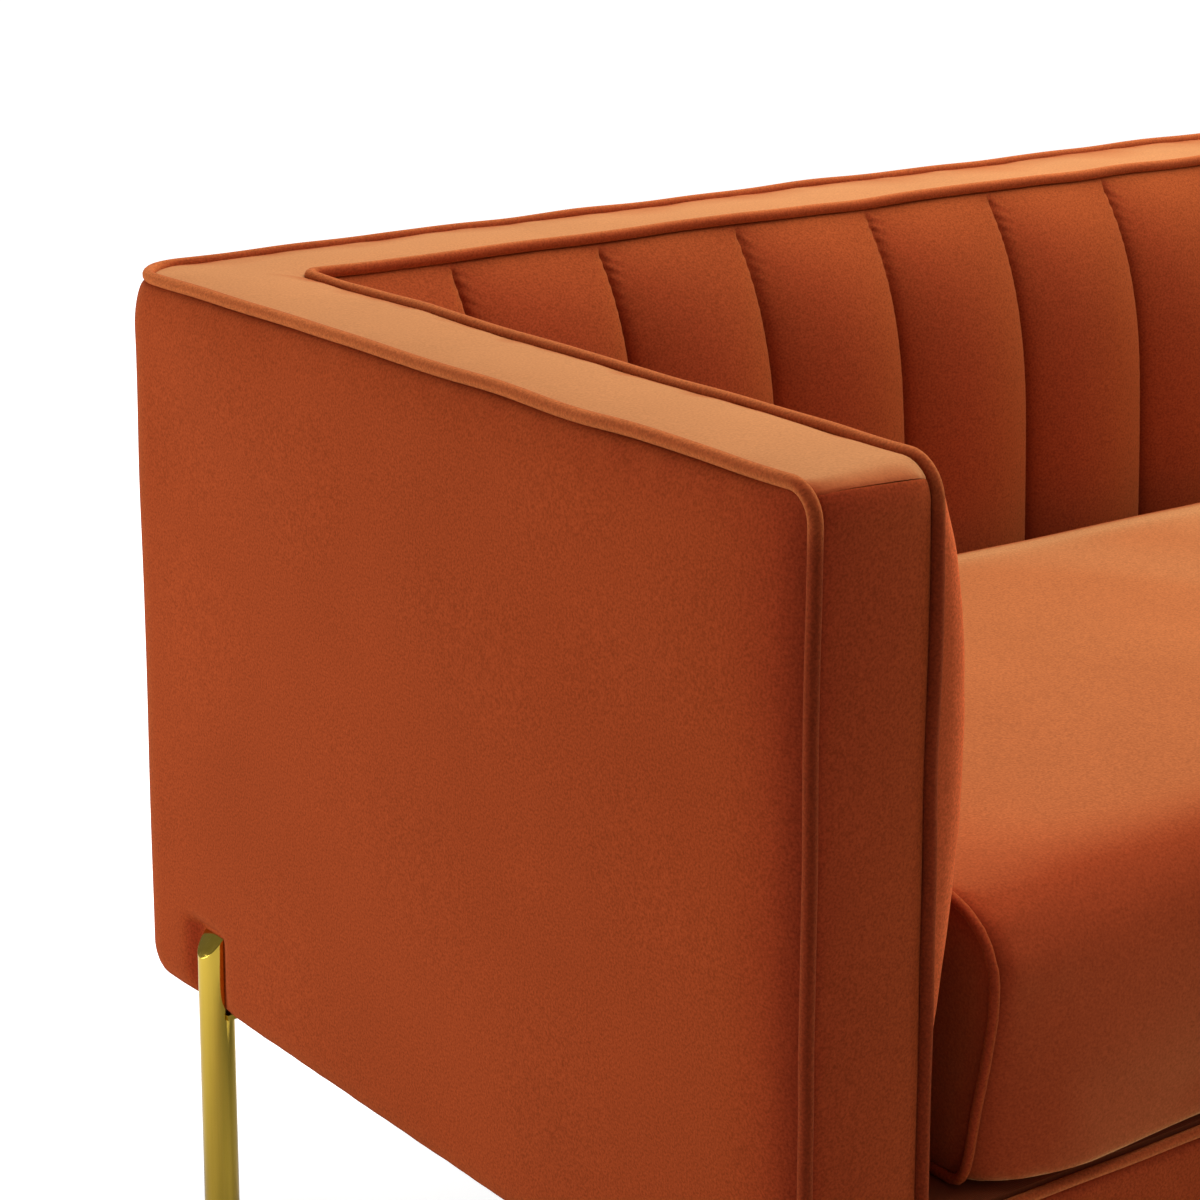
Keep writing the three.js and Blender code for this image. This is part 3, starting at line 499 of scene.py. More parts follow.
def sway(piece):
    """Moves a piece by the slow unevenness of the upper edges, the same for all pieces that meet there."""
    places = read_places(piece)
    x, y, z = places.T.copy()
    share = ease((z - 450 * MM) / (180 * MM))
    places[:, 0] += 1.3 * MM * share * waves(y, z, 260 * MM, 101)
    places[:, 1] += 1.1 * MM * share * waves(x, z, 290 * MM, 102)
    places[:, 2] += 1.0 * MM * share * waves(x, y, 240 * MM, 103)
    write_places(piece, places)


def paint_seam_shade(piece, share):
    """Stores how much painted shade each point gets, in an attribute. The share is a function of the points'
    places.
    """
    x, y, z = read_places(piece).T
    store = piece.data.attributes.new("painted_seam_shade", "FLOAT", "POINT")
    store.data.foreach_set("value", share(x, y, z).astype(np.float32))


def fit(piece, node, material=VELVET, body=FRAME):
    """Gives a finished piece its place in the sofa."""
    dress(piece, material)
    if body == FRAME:
        sway(piece)
    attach(piece, body)
    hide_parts(node)
    print(piece.name, "has", len(piece.data.polygons), "faces")


# %% [markdown]
# The outer cover of each arm is one piece of velvet over wadding. It rolls in under the piping at the top and
# the front, turns under at the bottom, and is drawn round the rear corner to a seam on the back. Each leg is
# pressed into it from below, so the cloth dives down beside the brass and rises again within two fingers'
# breadth. More of the grid's lines are gathered there and along the edges.

# %% Outer arm covers
SIDE_CROWN = 12 * MM
TOP_ROLL = 38 * MM
BOTTOM_ROLL = 26 * MM
FRONT_ROLL = 80 * MM
LEG_TONGUE = UNDER + 60.5 * MM
DENT_FLOOR = 1.7 * MM
DENT_REACH = 13 * MM
SEAM_SHADE_REACH = 34 * MM


def side_cover(name, side):
    straight = 2 * HALF_DEPTH - OUTER_CORNER - CLEAR
    bend = OUTER_CORNER * math.pi / 2
    length = straight + bend
    tall = PAD_TOP - UNDER
    front = CLEAR - HALF_DEPTH

    def spread(s, t):
        legs = [-LEG_Y - front, LEG_Y - front]
        along = gather(s, length, [0, *legs, length], 30 * MM, 4)
        return along, gather(t, tall, [0, LEG_TONGUE - UNDER, tall], 24 * MM, 3)

    def place(along, z, offset):
        y, rounded_z = rounded_corner(front + along, z, front, PAD_TOP, OUTER_TURN - CLEAR)
        angle = np.clip((along - straight) / bend, 0, 1) * math.pi / 2
        reach = OUTER_CORNER + offset
        bent = along > straight
        x = np.where(bent, HALF_WIDTH - OUTER_CORNER + reach * np.cos(angle), HALF_WIDTH + offset)
        y = np.where(bent, HALF_DEPTH - OUTER_CORNER + reach * np.sin(angle), y)
        return side * x, y, rounded_z

    def dent(along, up):
        beside = np.maximum(np.abs(np.abs(front + along) - LEG_Y) - LEG_RADIUS - 0.3 * MM, 0)
        above = np.maximum(up + UNDER - LEG_TONGUE, 0)
        away = np.hypot(beside, 1.5 * above)
        return np.where(along < straight, np.exp(-(away / DENT_REACH) ** 2), 0)

    def face(s, t):
        along, up = spread(s, t)
        rise = roll(tall - up, TOP_ROLL) * roll(up, BOTTOM_ROLL) * slow_roll(along, FRONT_ROLL)
        full = LIP + (SIDE_CROWN - LIP) * rise
        edge = np.minimum(np.minimum(tall - up, along), up * 3)
        full = full + 0.8 * MM * pucker(edge, 16 * MM, 2.5 * MM) * waves(along, up, 46 * MM, 3 + side)
        full = full + 0.6 * MM * rise * waves(along, up, 310 * MM, 7 + side)
        floor = np.minimum(full, DENT_FLOOR)
        return place(along, up + UNDER, full + (floor - full) * dent(along, up))

    def back(s, t):
        along, up = spread(s, t)
        return place(along, up + UNDER, -FOOT)

    return panel(name, 250, 150, face, back)


for side, word in SIDES:
    piece = side_cover(f"outer_arm_cover_{word}", side)
    # Painted shade: each cover's front edge is darker within a short reach of the seam.
    paint_seam_shade(piece, lambda x, y, z: 1 - ease((y + HALF_DEPTH) / SEAM_SHADE_REACH))
    fit(piece, f"side_pad_{word}")


# %% [markdown]
# The outer back is a plain padded panel between the two side seams. Its cloth is pulled tight top and bottom.

# %% Outer back cover
BACK_CROWN = 14 * MM


def outer_back():
    reach = HALF_WIDTH - OUTER_CORNER - 0.3 * MM
    tall = PAD_TOP - UNDER

    def face(s, t):
        x, up = (2 * crowd(s, 0.5) - 1) * reach, crowd(t) * tall
        rise = roll(tall - up, TOP_ROLL) * roll(up, BOTTOM_ROLL)
        side_gap = reach - np.abs(x)
        crown = SIDE_CROWN + (BACK_CROWN - SIDE_CROWN) * roll(side_gap, reach)
        seam = np.exp(-side_gap / (3 * MM))
        full = LIP + (crown - LIP) * rise - 3.5 * MM * seam * rise
        edge = np.minimum(tall - up, up * 3)
        full = full + 0.9 * MM * pucker(edge, 16 * MM, 2.5 * MM) * waves(x, up, 52 * MM, 11)
        full = full + 0.6 * MM * rise * waves(x, up, 420 * MM, 12)
        return x, HALF_DEPTH + full, UNDER + up

    def back(s, t):
        x, up = (2 * crowd(s, 0.5) - 1) * reach, crowd(t) * tall
        return x, np.full_like(x, HALF_DEPTH - FOOT), UNDER + up

    return panel("outer_back_cover", 260, 100, face, back)


fit(outer_back(), "back_pad")


# %% [markdown]
# The band over the arms and the back is cut in one width. It is stuffed thinly, so it crowns by two or three
# millimetres between the pipings, rounds the outer corner wide and the inner corner tight, and rolls down
# over the front of each arm to a cross seam, where the front panel begins. Wadding fills that corner out beyond
# the turn of the pipings. The inner pad pulls the inner edge of each arm's front back by a finger's thickness,
# and that edge turns on its own radius.

# %% The edge lines of the band
BAND_EDGE = HALF_WIDTH - CLEAR
INNER_FRONT = INNER_SETBACK - HALF_DEPTH
OUTER_SEAM = math.radians(43) / (math.pi / 2)
INNER_SEAM = math.radians(35) / (math.pi / 2)
SEAM_ANGLE = (OUTER_SEAM + INNER_SEAM) / 2 * math.pi / 2
CORNER_FULL = 4.5 * MM
TURN_ENDS = 0.06
ARM_ENDS = 0.47
CORNER_ENDS = 0.56


def front_turn(share, front, turn):
    """Points from the top of the front panel (0) over the turn to the flat top (1), as y and z."""
    angle = share * math.pi / 2
    y = front + turn - (turn + LIP) * np.cos(angle)
    z = TOP - turn + (turn + LIP) * np.sin(angle)
    return y, z


def band_edge(s, front, x_edge, y_edge, corner, turn, seam):
    """A line of the band from the left cross seam, round the back, to the right one, for s from 0 to 1."""
    left = np.minimum(s, 1 - s) * 2
    turn_share = seam + (1 - seam) * np.clip(left / TURN_ENDS, 0, 1)
    y_turn, z_turn = front_turn(turn_share, front, turn)
    run = np.clip((left - TURN_ENDS) / (ARM_ENDS - TURN_ENDS), 0, 1)
    y_run = (front + turn) + run * (y_edge - corner - turn - front)
    angle = np.clip((left - ARM_ENDS) / (CORNER_ENDS - ARM_ENDS), 0, 1) * math.pi / 2
    y_bend = y_edge - corner + corner * np.sin(angle)
    across = np.clip((left - CORNER_ENDS) / (1 - CORNER_ENDS), 0, 1)
    x = np.where(left < ARM_ENDS, -x_edge, corner - x_edge - corner * np.cos(angle))
    x = np.where(left > CORNER_ENDS, (corner - x_edge) * (1 - across), x)
    y = np.where(left < TURN_ENDS, y_turn, np.where(left < ARM_ENDS, y_run, y_bend))
    z = np.where(left < TURN_ENDS, z_turn, TOP + LIP)
    return np.where(s > 0.5, -x, x), y, z


def strip_crown(across, crown, corner):
    """How far a strip of the band's width rises between its pipings, and more beside a cross seam."""
    middle = np.minimum(across, 1 - across)
    return crown * roll(middle, 0.5) - 1.8 * MM + CORNER_FULL * roll(middle, 0.3) * corner


print("the band's seam leans by", round(math.degrees(SEAM_ANGLE), 1), "degrees")


# %% [markdown]
# The band's surface lies between its two edge lines. Puckers follow both seams, and small gathers stand
# beside the cross seam at each end.

# %% The band itself
def top_band():
    def line(s, t, drop):
        outer = band_edge(s, -HALF_DEPTH, BAND_EDGE, HALF_DEPTH - CLEAR,
                          OUTER_CORNER - CLEAR, OUTER_TURN, OUTER_SEAM)
        inner = band_edge(s, INNER_FRONT, INNER_X + CLEAR, INNER_Y + CLEAR,
                          INNER_CORNER + CLEAR, INNER_TURN, INNER_SEAM)
        x, y, z = (o + (i - o) * t for o, i in zip(outer, inner))
        turned = np.clip(np.minimum(s, 1 - s) * 2 / TURN_ENDS, 0, 1)
        angle = SEAM_ANGLE + (math.pi / 2 - SEAM_ANGLE) * turned
        return x, y + drop * np.cos(angle), z - drop * np.sin(angle)

    def face(s, t):
        across = crowd(t)
        x, y, z = line(s, across, 0 * s)
        edge = np.minimum(across, 1 - across) * ARM
        ripple = 0.9 * MM * pucker(edge, 14 * MM, 3 * MM) * waves(x, y, 58 * MM, 21)
        ripple = ripple + 0.5 * MM * waves(x, y, 240 * MM, 22)
        ends = np.minimum(s, 1 - s)
        crown = strip_crown(across, 3.4 * MM, np.clip(1 - ends * 2 / TURN_ENDS, 0, 1) ** 2)
        sewn_in = 0.6 * MM * np.exp(-ends / 0.001) + 0.3 * MM * np.exp(-ends / 0.006)
        gathers = 0.35 * MM * np.exp(-ends / 0.005) * waves(x, 0.2 * z, 11 * MM, 23)
        return line(s, across, -(crown + ripple + gathers) + sewn_in)

    def back(s, t):
        return line(s, crowd(t), 16 * MM + 0 * s)

    return panel("top_band_cover", 560, 30, face, back)


fit(top_band(), "top_band", BAND_VELVET_PAINTED_TOP_LIGHT)


# %% [markdown]
# Each arm ends in a narrow front panel between the two pipings. It is the same velvet, pulled over a thin
# pad, with its top tucked into the cross seam.

# %% Arm front panels
CORNER_TALL = 48 * MM
LEAN_TALL = 24 * MM


def front_panel(name, side):
    def line(s, t, drop):
        def edge(front, turn, seam):
            straight = (TOP - turn) - UNDER
            arc = (turn + LIP) * seam * math.pi / 2
            along = t * (straight + arc)
            y, z = front_turn(seam * np.clip((along - straight) / arc, 0, 1), front, turn)
            bent = along > straight
            return np.where(bent, y, front - LIP), np.where(bent, z, UNDER + along)

        y_out, z_out = edge(-HALF_DEPTH, OUTER_TURN, OUTER_SEAM)
        y_in, z_in = edge(INNER_FRONT, INNER_TURN, INNER_SEAM)
        x = BAND_EDGE + (INNER_X + CLEAR - BAND_EDGE) * s
        y = y_out + (y_in - y_out) * s ** 1.5
        z = z_out + (z_in - z_out) * s
        lean = np.sin(SEAM_ANGLE * np.clip((z - TOP + LEAN_TALL) / (LEAN_TALL + z_out.max() - TOP), 0, 1))
        return side * x, y + drop * np.sqrt(1 - lean ** 2), z - drop * lean

    def spread(s, t):
        return crowd(s), gather(t, 1, [0, 1], 0.05, 9)

    def face(s, t):
        across, up = spread(s, t)
        x, y, z = line(across, up, 0 * s)
        corner = np.clip(1 - (1 - up) * (TOP - UNDER) / CORNER_TALL, 0, 1) ** 2
        crown = strip_crown(across, 3.2 * MM, corner)
        edge = np.minimum(across, 1 - across) * ARM
        ripple = 0.7 * MM * pucker(edge, 12 * MM, 3 * MM) * waves(z, x, 44 * MM, 31 + side)
        ripple = ripple + 0.4 * MM * waves(z, x, 200 * MM, 33 + side)
        gathers = 0.4 * MM * pucker(1 - up, 0.012, 0.002) * waves(x, 0.2 * z, 11 * MM, 35 + side)
        sewn_in = 0.5 * MM * np.exp(-(1 - up) / 0.0015)
        return line(across, up, -(crown + ripple + gathers) + sewn_in)

    def back(s, t):
        return line(*spread(s, t), 10 * MM + 0 * s)

    return panel(name, 26, 200, face, back)


for side, word in SIDES:
    fit(front_panel(f"arm_front_cover_{word}", side), f"arm_front_panel_{word}")


# %% [markdown]
# The channelled back is what a maker is proudest of. Thirteen tubes of wadding are sewn side by side. Each is
# fullest in its middle and dives into the seam at its edges, and the whole back swells forward from the
# piping like the front of a wave. Where each seam starts under the piping, the cloth gathers into short
# creases that fan out from it.

# %% Channelled back
CHANNELS = 13
PITCH = 146.3 * MM
SWELL = 64 * MM
SWELL_REACH = 75 * MM
CHANNEL_CROWN = 22 * MM
CHANNEL_REACH = 42 * MM


def seam_reach(z):
    return SWELL * (1 - np.exp(-np.maximum(0, PAD_TOP - z) / SWELL_REACH))


def crest_reach(z):
    return CHANNEL_CROWN * (1 - np.exp(-np.maximum(0, PAD_TOP - z) / CHANNEL_REACH))


def channelled_back():
    reach = INNER_X + FOOT
    tall = PAD_TOP - PAD_BOTTOM

    def columns(s):
        x = (2 * s - 1) * reach
        seam = x / PITCH - 0.5
        share = seam - np.floor(seam)
        return (np.floor(seam) + crowd(share, 0.72) + 0.5) * PITCH

    def heights(t):
        return PAD_BOTTOM + gather(t, tall, [tall], 90 * MM, 5)

    def face(s, t):
        x = np.clip(columns(s), -reach, reach)
        z = heights(t)
        u = 2 * (x / PITCH - np.round(x / PITCH))
        down = PAD_TOP - z
        pillow = np.maximum(0, 1 - np.abs(u) ** 2.1) ** 0.6
        near = (1 - np.abs(u)) * PITCH / 2
        which = np.round(x / PITCH)
        swell = seam_reach(z) + crest_reach(z) * pillow
        sewn = np.exp(-near / (2.2 * MM)) * 5.0 * MM * ease(down / (12 * MM))
        fan = pucker(near, 9 * MM, 2 * MM)
        top = np.exp(-np.maximum(down - 14 * MM, 0) / (38 * MM))
        crease = np.sin(2 * np.pi * (z + 0.7 * near) / (10 * MM) + 2.1 * which + waves(z, x, 34 * MM, 43))
        pinch = 1.5 * MM * fan * top * crease * ease(down / (14 * MM))
        low = 0.25 * MM * fan * (1 - top) * np.sin(2 * np.pi * z / (17 * MM) + 3.1 * which)
        gathers = 0.8 * MM * np.exp(-down / (13 * MM)) * ease(down / (3 * MM)) * waves(x, z, 21 * MM, 41)
        drift = 0.9 * MM * pillow * ease(down / (60 * MM)) * waves(x, z, 260 * MM, 42)
        y = INNER_Y - LIP - swell - pinch - low - gathers - drift + sewn
        return x, y, z

    def back(s, t):
        x = np.clip(columns(s), -reach, reach)
        return x, np.full_like(x, INNER_Y + FOOT), heights(t)

    return panel("channelled_back_cover", 24 * CHANNELS, 158, face, back)


fit(channelled_back(), "channelled_back", CHANNEL_VELVET)


# %% [markdown]
# The inside of each arm is a plain pad, stuffed fullest a hand's breadth above the seat. It is thin where it
# is sewn to the piping and where it tucks down beside the cushion, and it is cut to meet the channels.

# %% Inner arm pads
ARM_CROWN = 45 * MM
ARM_CREST = 580 * MM
ARM_FRONT_ROLL = 18 * MM


def inner_arm(name, side):
    front = CLEAR + INNER_FRONT
    tall = PAD_TOP - PAD_BOTTOM

    def upright(z):
        over = np.clip((PAD_TOP - z) / (PAD_TOP - ARM_CREST), 0, 1)
        below = np.clip((ARM_CREST - z) / (ARM_CREST - PAD_BOTTOM), 0, 1)
        high = np.sin(math.pi / 2 * over) ** 0.5
        low = np.maximum(np.cos(math.pi / 2 * below), 0) ** 1.25
        return np.where(z > ARM_CREST, high, low)

    def reach(z):
        return INNER_Y - LIP - seam_reach(z) - crest_reach(z)

    def place(s, t, offset):
        z = PAD_BOTTOM + crowd(t) * tall
        along = front + crowd(s) * (reach(z) - 0.4 * MM - front)
        y, rounded_z = rounded_corner(along, z, front, PAD_TOP, INNER_TURN - CLEAR)
        return side * (INNER_X - offset), y, rounded_z

    def face(s, t):
        up = crowd(t) * tall
        z = PAD_BOTTOM + up
        rear = reach(z)
        along = crowd(s) * (rear - front)
        rise = roll(along, ARM_FRONT_ROLL) * roll(rear - front - along, 55 * MM) * upright(z)
        edge = np.minimum(tall - up, along)
        ripple = 0.8 * MM * pucker(edge, 16 * MM, 2.5 * MM) * waves(along, up, 48 * MM, 51 + side)
        ripple = ripple + 0.4 * MM * rise * (waves(along, up, 230 * MM, 53) - 0.6)
        return place(s, t, LIP + (ARM_CROWN - LIP) * rise + ripple)

    def back(s, t):
        return place(s, t, -FOOT + 0 * s)

    return panel(name, 120, 100, face, back)


for side, word in SIDES:
    fit(inner_arm(f"inner_arm_cover_{word}", side), f"arm_pad_{word}", ARM_VELVET_PAINTED_SIDE_LIGHT)


# %% [markdown]
# Piping is a cotton cord in a strip of the velvet, sewn into the seam. It is never quite straight: the cord
# wanders by half a millimetre between stitches. Blender's noise starts from the clock unless it is given a
# seed, so it gets one, and every run gives the same piping. A curve is laid along the seam line, given a round
# section of the cord's size, and turned into a mesh.

# %% Piping
noise.seed_set(5)
# Painted shade: how much darker the upright runs of the band's pipings are.
UPRIGHT_PIPING_SHADE = 0.8


def smooth_path(points, step=9 * MM):
    """The corners of a path filled with evenly spaced points."""
    path = [Vector(points[0])]
    for start, end in zip(points, points[1:]):
        start, end = Vector(start), Vector(end)
        count = max(1, round((end - start).length / step))
        path += [start.lerp(end, (k + 1) / count) for k in range(count)]
    return path


def wander(path, amount, length, seed):
    """Shakes a path by a smooth noise, but not at its ends."""
    moved = []
    run = 0.0
    for i, point in enumerate(path):
        if i:
            run += (point - path[i - 1]).length
        fade = min(1.0, i / 4, (len(path) - 1 - i) / 4)
        shake = noise.noise_vector(Vector((run / length, seed * 7.3, 0.5)))
        moved.append(point + shake * amount * fade)
    return moved


def piping(name, path, radius, body, node, material=PIPING_VELVET, closed=False):
    deselect()
    bpy.ops.curve.primitive_nurbs_path_add()
    piece = bpy.context.object
    piece.name = name
    route = piece.data
    route.splines.clear()
    spline = route.splines.new("POLY")
    spline.points.add(len(path) - 1)
    spline.points.foreach_set("co", [c for point in path for c in (*point, 1)])
    spline.use_cyclic_u = closed
    route.bevel_depth = radius
    route.bevel_resolution = 5
    route.use_fill_caps = not closed
    bpy.ops.object.convert(target="MESH")
    piece = bpy.context.object
    tidy_normals(piece)
    fit(piece, node, material, body)
    return piece


# %% [markdown]
# Two pipings edge the band. Each climbs one arm's front, turns back over the top, runs round the sofa and comes
# down the other arm. One half of the route is laid out, and the other is its mirror image. The upright runs
# are painted darker, a painted shade.

# %% The pipings of the band
def turn_points(centre, radius, start, end, steps):
    angles = [k / steps * math.pi / 2 for k in range(steps + 1)]
    return [centre + start * radius * math.cos(a) + end * radius * math.sin(a) for a in angles]


def edge_route(front, x, y, corner, turn):
    up, left, back = Vector((0, 0, 1)), Vector((-1, 0, 0)), Vector((0, 1, 0))
    half = [Vector((-x, front, UNDER))]
    half += turn_points(Vector((-x, front + turn, TOP - turn)), turn, -back, up, 10)
    half += turn_points(Vector((corner - x, y - corner, TOP)), corner, left, back, 12)
    return half + [Vector((-p.x, p.y, p.z)) for p in reversed(half)]


outer_route = edge_route(-HALF_DEPTH, HALF_WIDTH, HALF_DEPTH, OUTER_CORNER, OUTER_TURN)
inner_route = edge_route(INNER_FRONT, INNER_X, INNER_Y, INNER_CORNER, INNER_TURN)
for word, route, reach, seed in (("outer", outer_route, 70 * MM, 1), ("inner", inner_route, 64 * MM, 2)):
    path = wander(smooth_path(route), 0.9 * MM, reach, seed)
    piece = piping(f"{word}_edge_piping", path, PIPING, FRAME, f"{word}_piping")
    paint_seam_shade(piece, lambda x, y, z: UPRIGHT_PIPING_SHADE * ease((TOP - 12 * MM - z) / (30 * MM)))


# %% [markdown]
# Below the cushion a shallow padded rail closes the front, with a thinner piping along its top edge.

# %% Front rail and its piping
RAIL_LOW, RAIL_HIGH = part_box("front_rail_cover")
RAIL_PIPE_LOW, RAIL_PIPE_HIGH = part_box("base_rail_piping")


def front_rail():
    reach = RAIL_HIGH[0]
    tall = RAIL_HIGH[2] - UNDER

    def face(s, t):
        x, up = (2 * crowd(s, 0.4) - 1) * reach, crowd(t) * tall
        rise = roll(tall - up, 12 * MM) * roll(up, 14 * MM)
        full = (RAIL_HIGH[1] - RAIL_LOW[1]) * (0.45 + 0.75 * rise)
        full = full + 0.5 * MM * waves(x, up, 60 * MM, 61) * roll(tall - up, 20 * MM)
        return x, RAIL_HIGH[1] - full, UNDER + up

    def back(s, t):
        x, up = (2 * crowd(s, 0.4) - 1) * reach, crowd(t) * tall
        return x, np.full_like(x, RAIL_HIGH[1]), UNDER + up

    return panel("front_rail_velvet", 300, 24, face, back)


fit(front_rail(), "front_rail_cover")
rail_y = (RAIL_PIPE_LOW[1] + RAIL_PIPE_HIGH[1]) / 2
rail_z = (RAIL_PIPE_LOW[2] + RAIL_PIPE_HIGH[2]) / 2
rail_path = smooth_path([(RAIL_PIPE_LOW[0], rail_y, rail_z), (RAIL_PIPE_HIGH[0], rail_y, rail_z)])
piping("front_rail_piping", wander(rail_path, 0.6 * MM, 70 * MM, 3), 4 * MM, FRAME, "base_rail_piping")

# %% [markdown]
# The bench cushion is the one loose piece. A block of foam in a velvet case is sewn with a D-shaped panel at
# each end. Pressure from inside is what gives such a case its shape, so the block is blown up as cloth, while
# the seams round the two end panels are pinned where the piping holds them.

# %% Bench cushion, blown up as cloth
CUSHION_LOW, CUSHION_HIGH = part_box("seat_cushion")
CUSHION_END = CUSHION_HIGH[0]
SEAM_HELD = 12 * MM
CLOTH_STEPS = 20


def bench_cushion():
    source = bpy.data.objects["seat_cushion"]
    piece = source.copy()
    piece.data = source.data.copy()
    piece.name = "bench_cushion"
    piece.hide_render = False
    for key in list(piece.keys()):
        del piece[key]
    bpy.context.scene.collection.objects.link(piece)
    pick(piece)
    edit_all()
    bpy.ops.mesh.remove_doubles(threshold=0.01 * MM)
    bpy.ops.object.mode_set(mode="OBJECT")
    piece.data.remesh_voxel_size = 9 * MM
    bpy.ops.object.voxel_remesh()
    start = read_places(piece)
    pins = piece.vertex_groups.new(name="seam")
    held = [i for i, p in enumerate(start) if abs(abs(p[0]) - CUSHION_END) < SEAM_HELD]
    pins.add(held, 1.0, "REPLACE")
    cloth = piece.modifiers.new("cloth", "CLOTH")
    cloth.settings.use_pressure = True
    cloth.settings.uniform_pressure_force = 4
    cloth.settings.effector_weights.gravity = 0
    cloth.settings.vertex_group_mass = "seam"
    cloth.settings.tension_stiffness = 30
    cloth.settings.compression_stiffness = 30
    cloth.settings.quality = 5
    for step in range(1, CLOTH_STEPS + 1):
        bpy.context.scene.frame_set(step)
    bpy.ops.object.modifier_apply(modifier="cloth")
    bpy.context.scene.frame_set(1)
    return piece, start


# %% [markdown]
# Pressure alone would blow the long cushion up like a bolster. So no point may move further than a foam block
# lets its case swell, its underside stays on the deck, and its top gets the slow hollows of a cushion that has
# been sat on. Smoothing then rounds the upper edges, except near the end seams, which hold them crisp.

# %% Settling and rounding the cushion
SWELL_CAP = 12 * MM


def settle(piece, start, cap):
    """Holds each point of the blown cushion within a cap of where it began, and above what it rests on."""
    now = read_places(piece)
    shift = now - start
    far = np.maximum(np.linalg.norm(shift, axis=1), 1e-9)
    now = start + shift * np.minimum(1, cap / far)[:, None]
    now[:, 2] = np.clip(now[:, 2], CUSHION_LOW[2], CUSHION_HIGH[2] + 6 * MM)
    now[:, 1] = np.clip(now[:, 1], CUSHION_LOW[1] - 3 * MM, CUSHION_HIGH[1])
    now[:, 0] = np.clip(now[:, 0], -CUSHION_END, CUSHION_END)
    x, y = now[:, 0], now[:, 1]
    top = ease((now[:, 2] - CUSHION_LOW[2]) / (CUSHION_HIGH[2] - CUSHION_LOW[2]))
    now[:, 2] += top * (0.9 * MM * waves(x, y, 320 * MM, 71) + 0.3 * MM * waves(x, y, 95 * MM, 72))
    write_places(piece, now)
    print("pressure would move it by up to", round(float(far.max()) * 1000, 1), "mm, held to", cap * 1000)


bench, bench_start = bench_cushion()
settle(bench, bench_start, SWELL_CAP)
tidy_normals(bench)
upper = bench.vertex_groups.new(name="upper_edges")
for vertex in bench.data.vertices:
    from_end = ease((CUSHION_END - 14 * MM - abs(vertex.co.x)) / (70 * MM))
    from_below = ease((vertex.co.z - CUSHION_LOW[2] - 60 * MM) / (70 * MM))
    upper.add([vertex.index], float(from_end * from_below), "REPLACE")
bpy.context.view_layer.objects.active = bench
for name, group, times in (("all_over", "", 5), ("rounder_upper_edges", upper.name, 56)):
    smoothing = bench.modifiers.new(name, "SMOOTH")
    smoothing.vertex_group = group
    smoothing.iterations = times
    smoothing.factor = 0.5
    bpy.ops.object.modifier_apply(modifier=name)
fit(bench, "seat_cushion", LEVEL_VELVET_PAINTED_TOP_LIGHT, body=CUSHION)


# %% [markdown]
# The cushion's piping follows the edge of each end panel. Its path is laid round the D and then pulled onto
# the blown cushion, so that it sits in the seam wherever the cloth has moved.

# %% Cushion piping
CUSHION_PIPE = 3.6 * MM


def middle_of(points):
    return sum(points, Vector((0, 0))) / len(points)


def end_outline(side):
    """The corners of the solid's end face, in order round it, as y and z."""
    node = bpy.data.objects["seat_cushion"]
    at_end = [v.co for v in node.data.vertices if abs(v.co.x - side * CUSHION_END) < 1e-5]
    edge = [Vector(p) for p in sorted({(round(place.y, 5), round(place.z, 5)) for place in at_end})]
    middle = middle_of(edge)
    ring = [p for p in edge if (p - middle).length > 50 * MM]
    return sorted(ring, key=lambda p: math.atan2(p.y - middle.y, p.x - middle.x))


def rounded(points, times=2):
    """Cuts the corners of a closed outline, so that it runs smoothly."""
    for _ in range(times):
        points = [a.lerp(b, share) for a, b in zip(points, points[1:] + points[:1]) for share in (0.25, 0.75)]
    return points


def cushion_piping(side, word):
    ring = rounded(end_outline(side))
    inset = CUSHION_PIPE * 0.4
    middle = middle_of(ring)
    inside = Vector((side * (CUSHION_END - 7 * MM), *middle))
    path = []
    for p in ring:
        outward = Vector((0, *(p - middle))).normalized()
        hit, met, _, _ = bench.ray_cast(inside, outward)
        place = (met if hit else Vector((0, *p))) - outward * inset
        place.x = side * (CUSHION_END + CUSHION_PIPE * 0.25)
        place.z = max(place.z, CUSHION_LOW[2] + CUSHION_PIPE)
        path.append(place)
    path = wander(smooth_path(path + path[:1], 8 * MM)[:-1], 0.5 * MM, 60 * MM, 5 + side)
    piping(f"bench_piping_{word}", path, CUSHION_PIPE, CUSHION, f"cushion_piping_{word}", VELVET, closed=True)


for side, word in SIDES:
    cushion_piping(side, word)


# %% [markdown]
# Under the cushion lies the deck: thin foam in plain rust cloth, stretched from rail to rail. It shows when the
# cushion is lifted. The dust cloth below is a flat sheet stapled under the rails.

# %% Deck and dust cloth
DECK_LOW, DECK_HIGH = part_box("seat_deck")
DUST_LOW, DUST_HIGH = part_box("dust_cover")


def over(low, high, s, t, amount=0.0):
    """x and y over a box, for s and t from 0 to 1."""
    return (low[i] + crowd(share, amount) * (high[i] - low[i]) for i, share in enumerate((s, t)))


def deck():
    def face(s, t):
        x, y = over(DECK_LOW, DECK_HIGH, s, t, 0.4)
        sides = (x - DECK_LOW[0], DECK_HIGH[0] - x, y - DECK_LOW[1], DECK_HIGH[1] - y)
        rise = roll(np.minimum.reduce(sides), 30 * MM)
        z = DECK_LOW[2] + (DECK_HIGH[2] - DECK_LOW[2]) * (0.55 + 0.45 * rise)
        z = z - 0.8 * MM * (1 + waves(x, y, 260 * MM, 81)) / 2 * rise
        return x, y, z

    def back(s, t):
        x, y = over(DECK_LOW, DECK_HIGH, s, t, 0.4)
        return x, y, np.full_like(x, DECK_LOW[2])

    return panel("deck_cover", 160, 70, face, back)


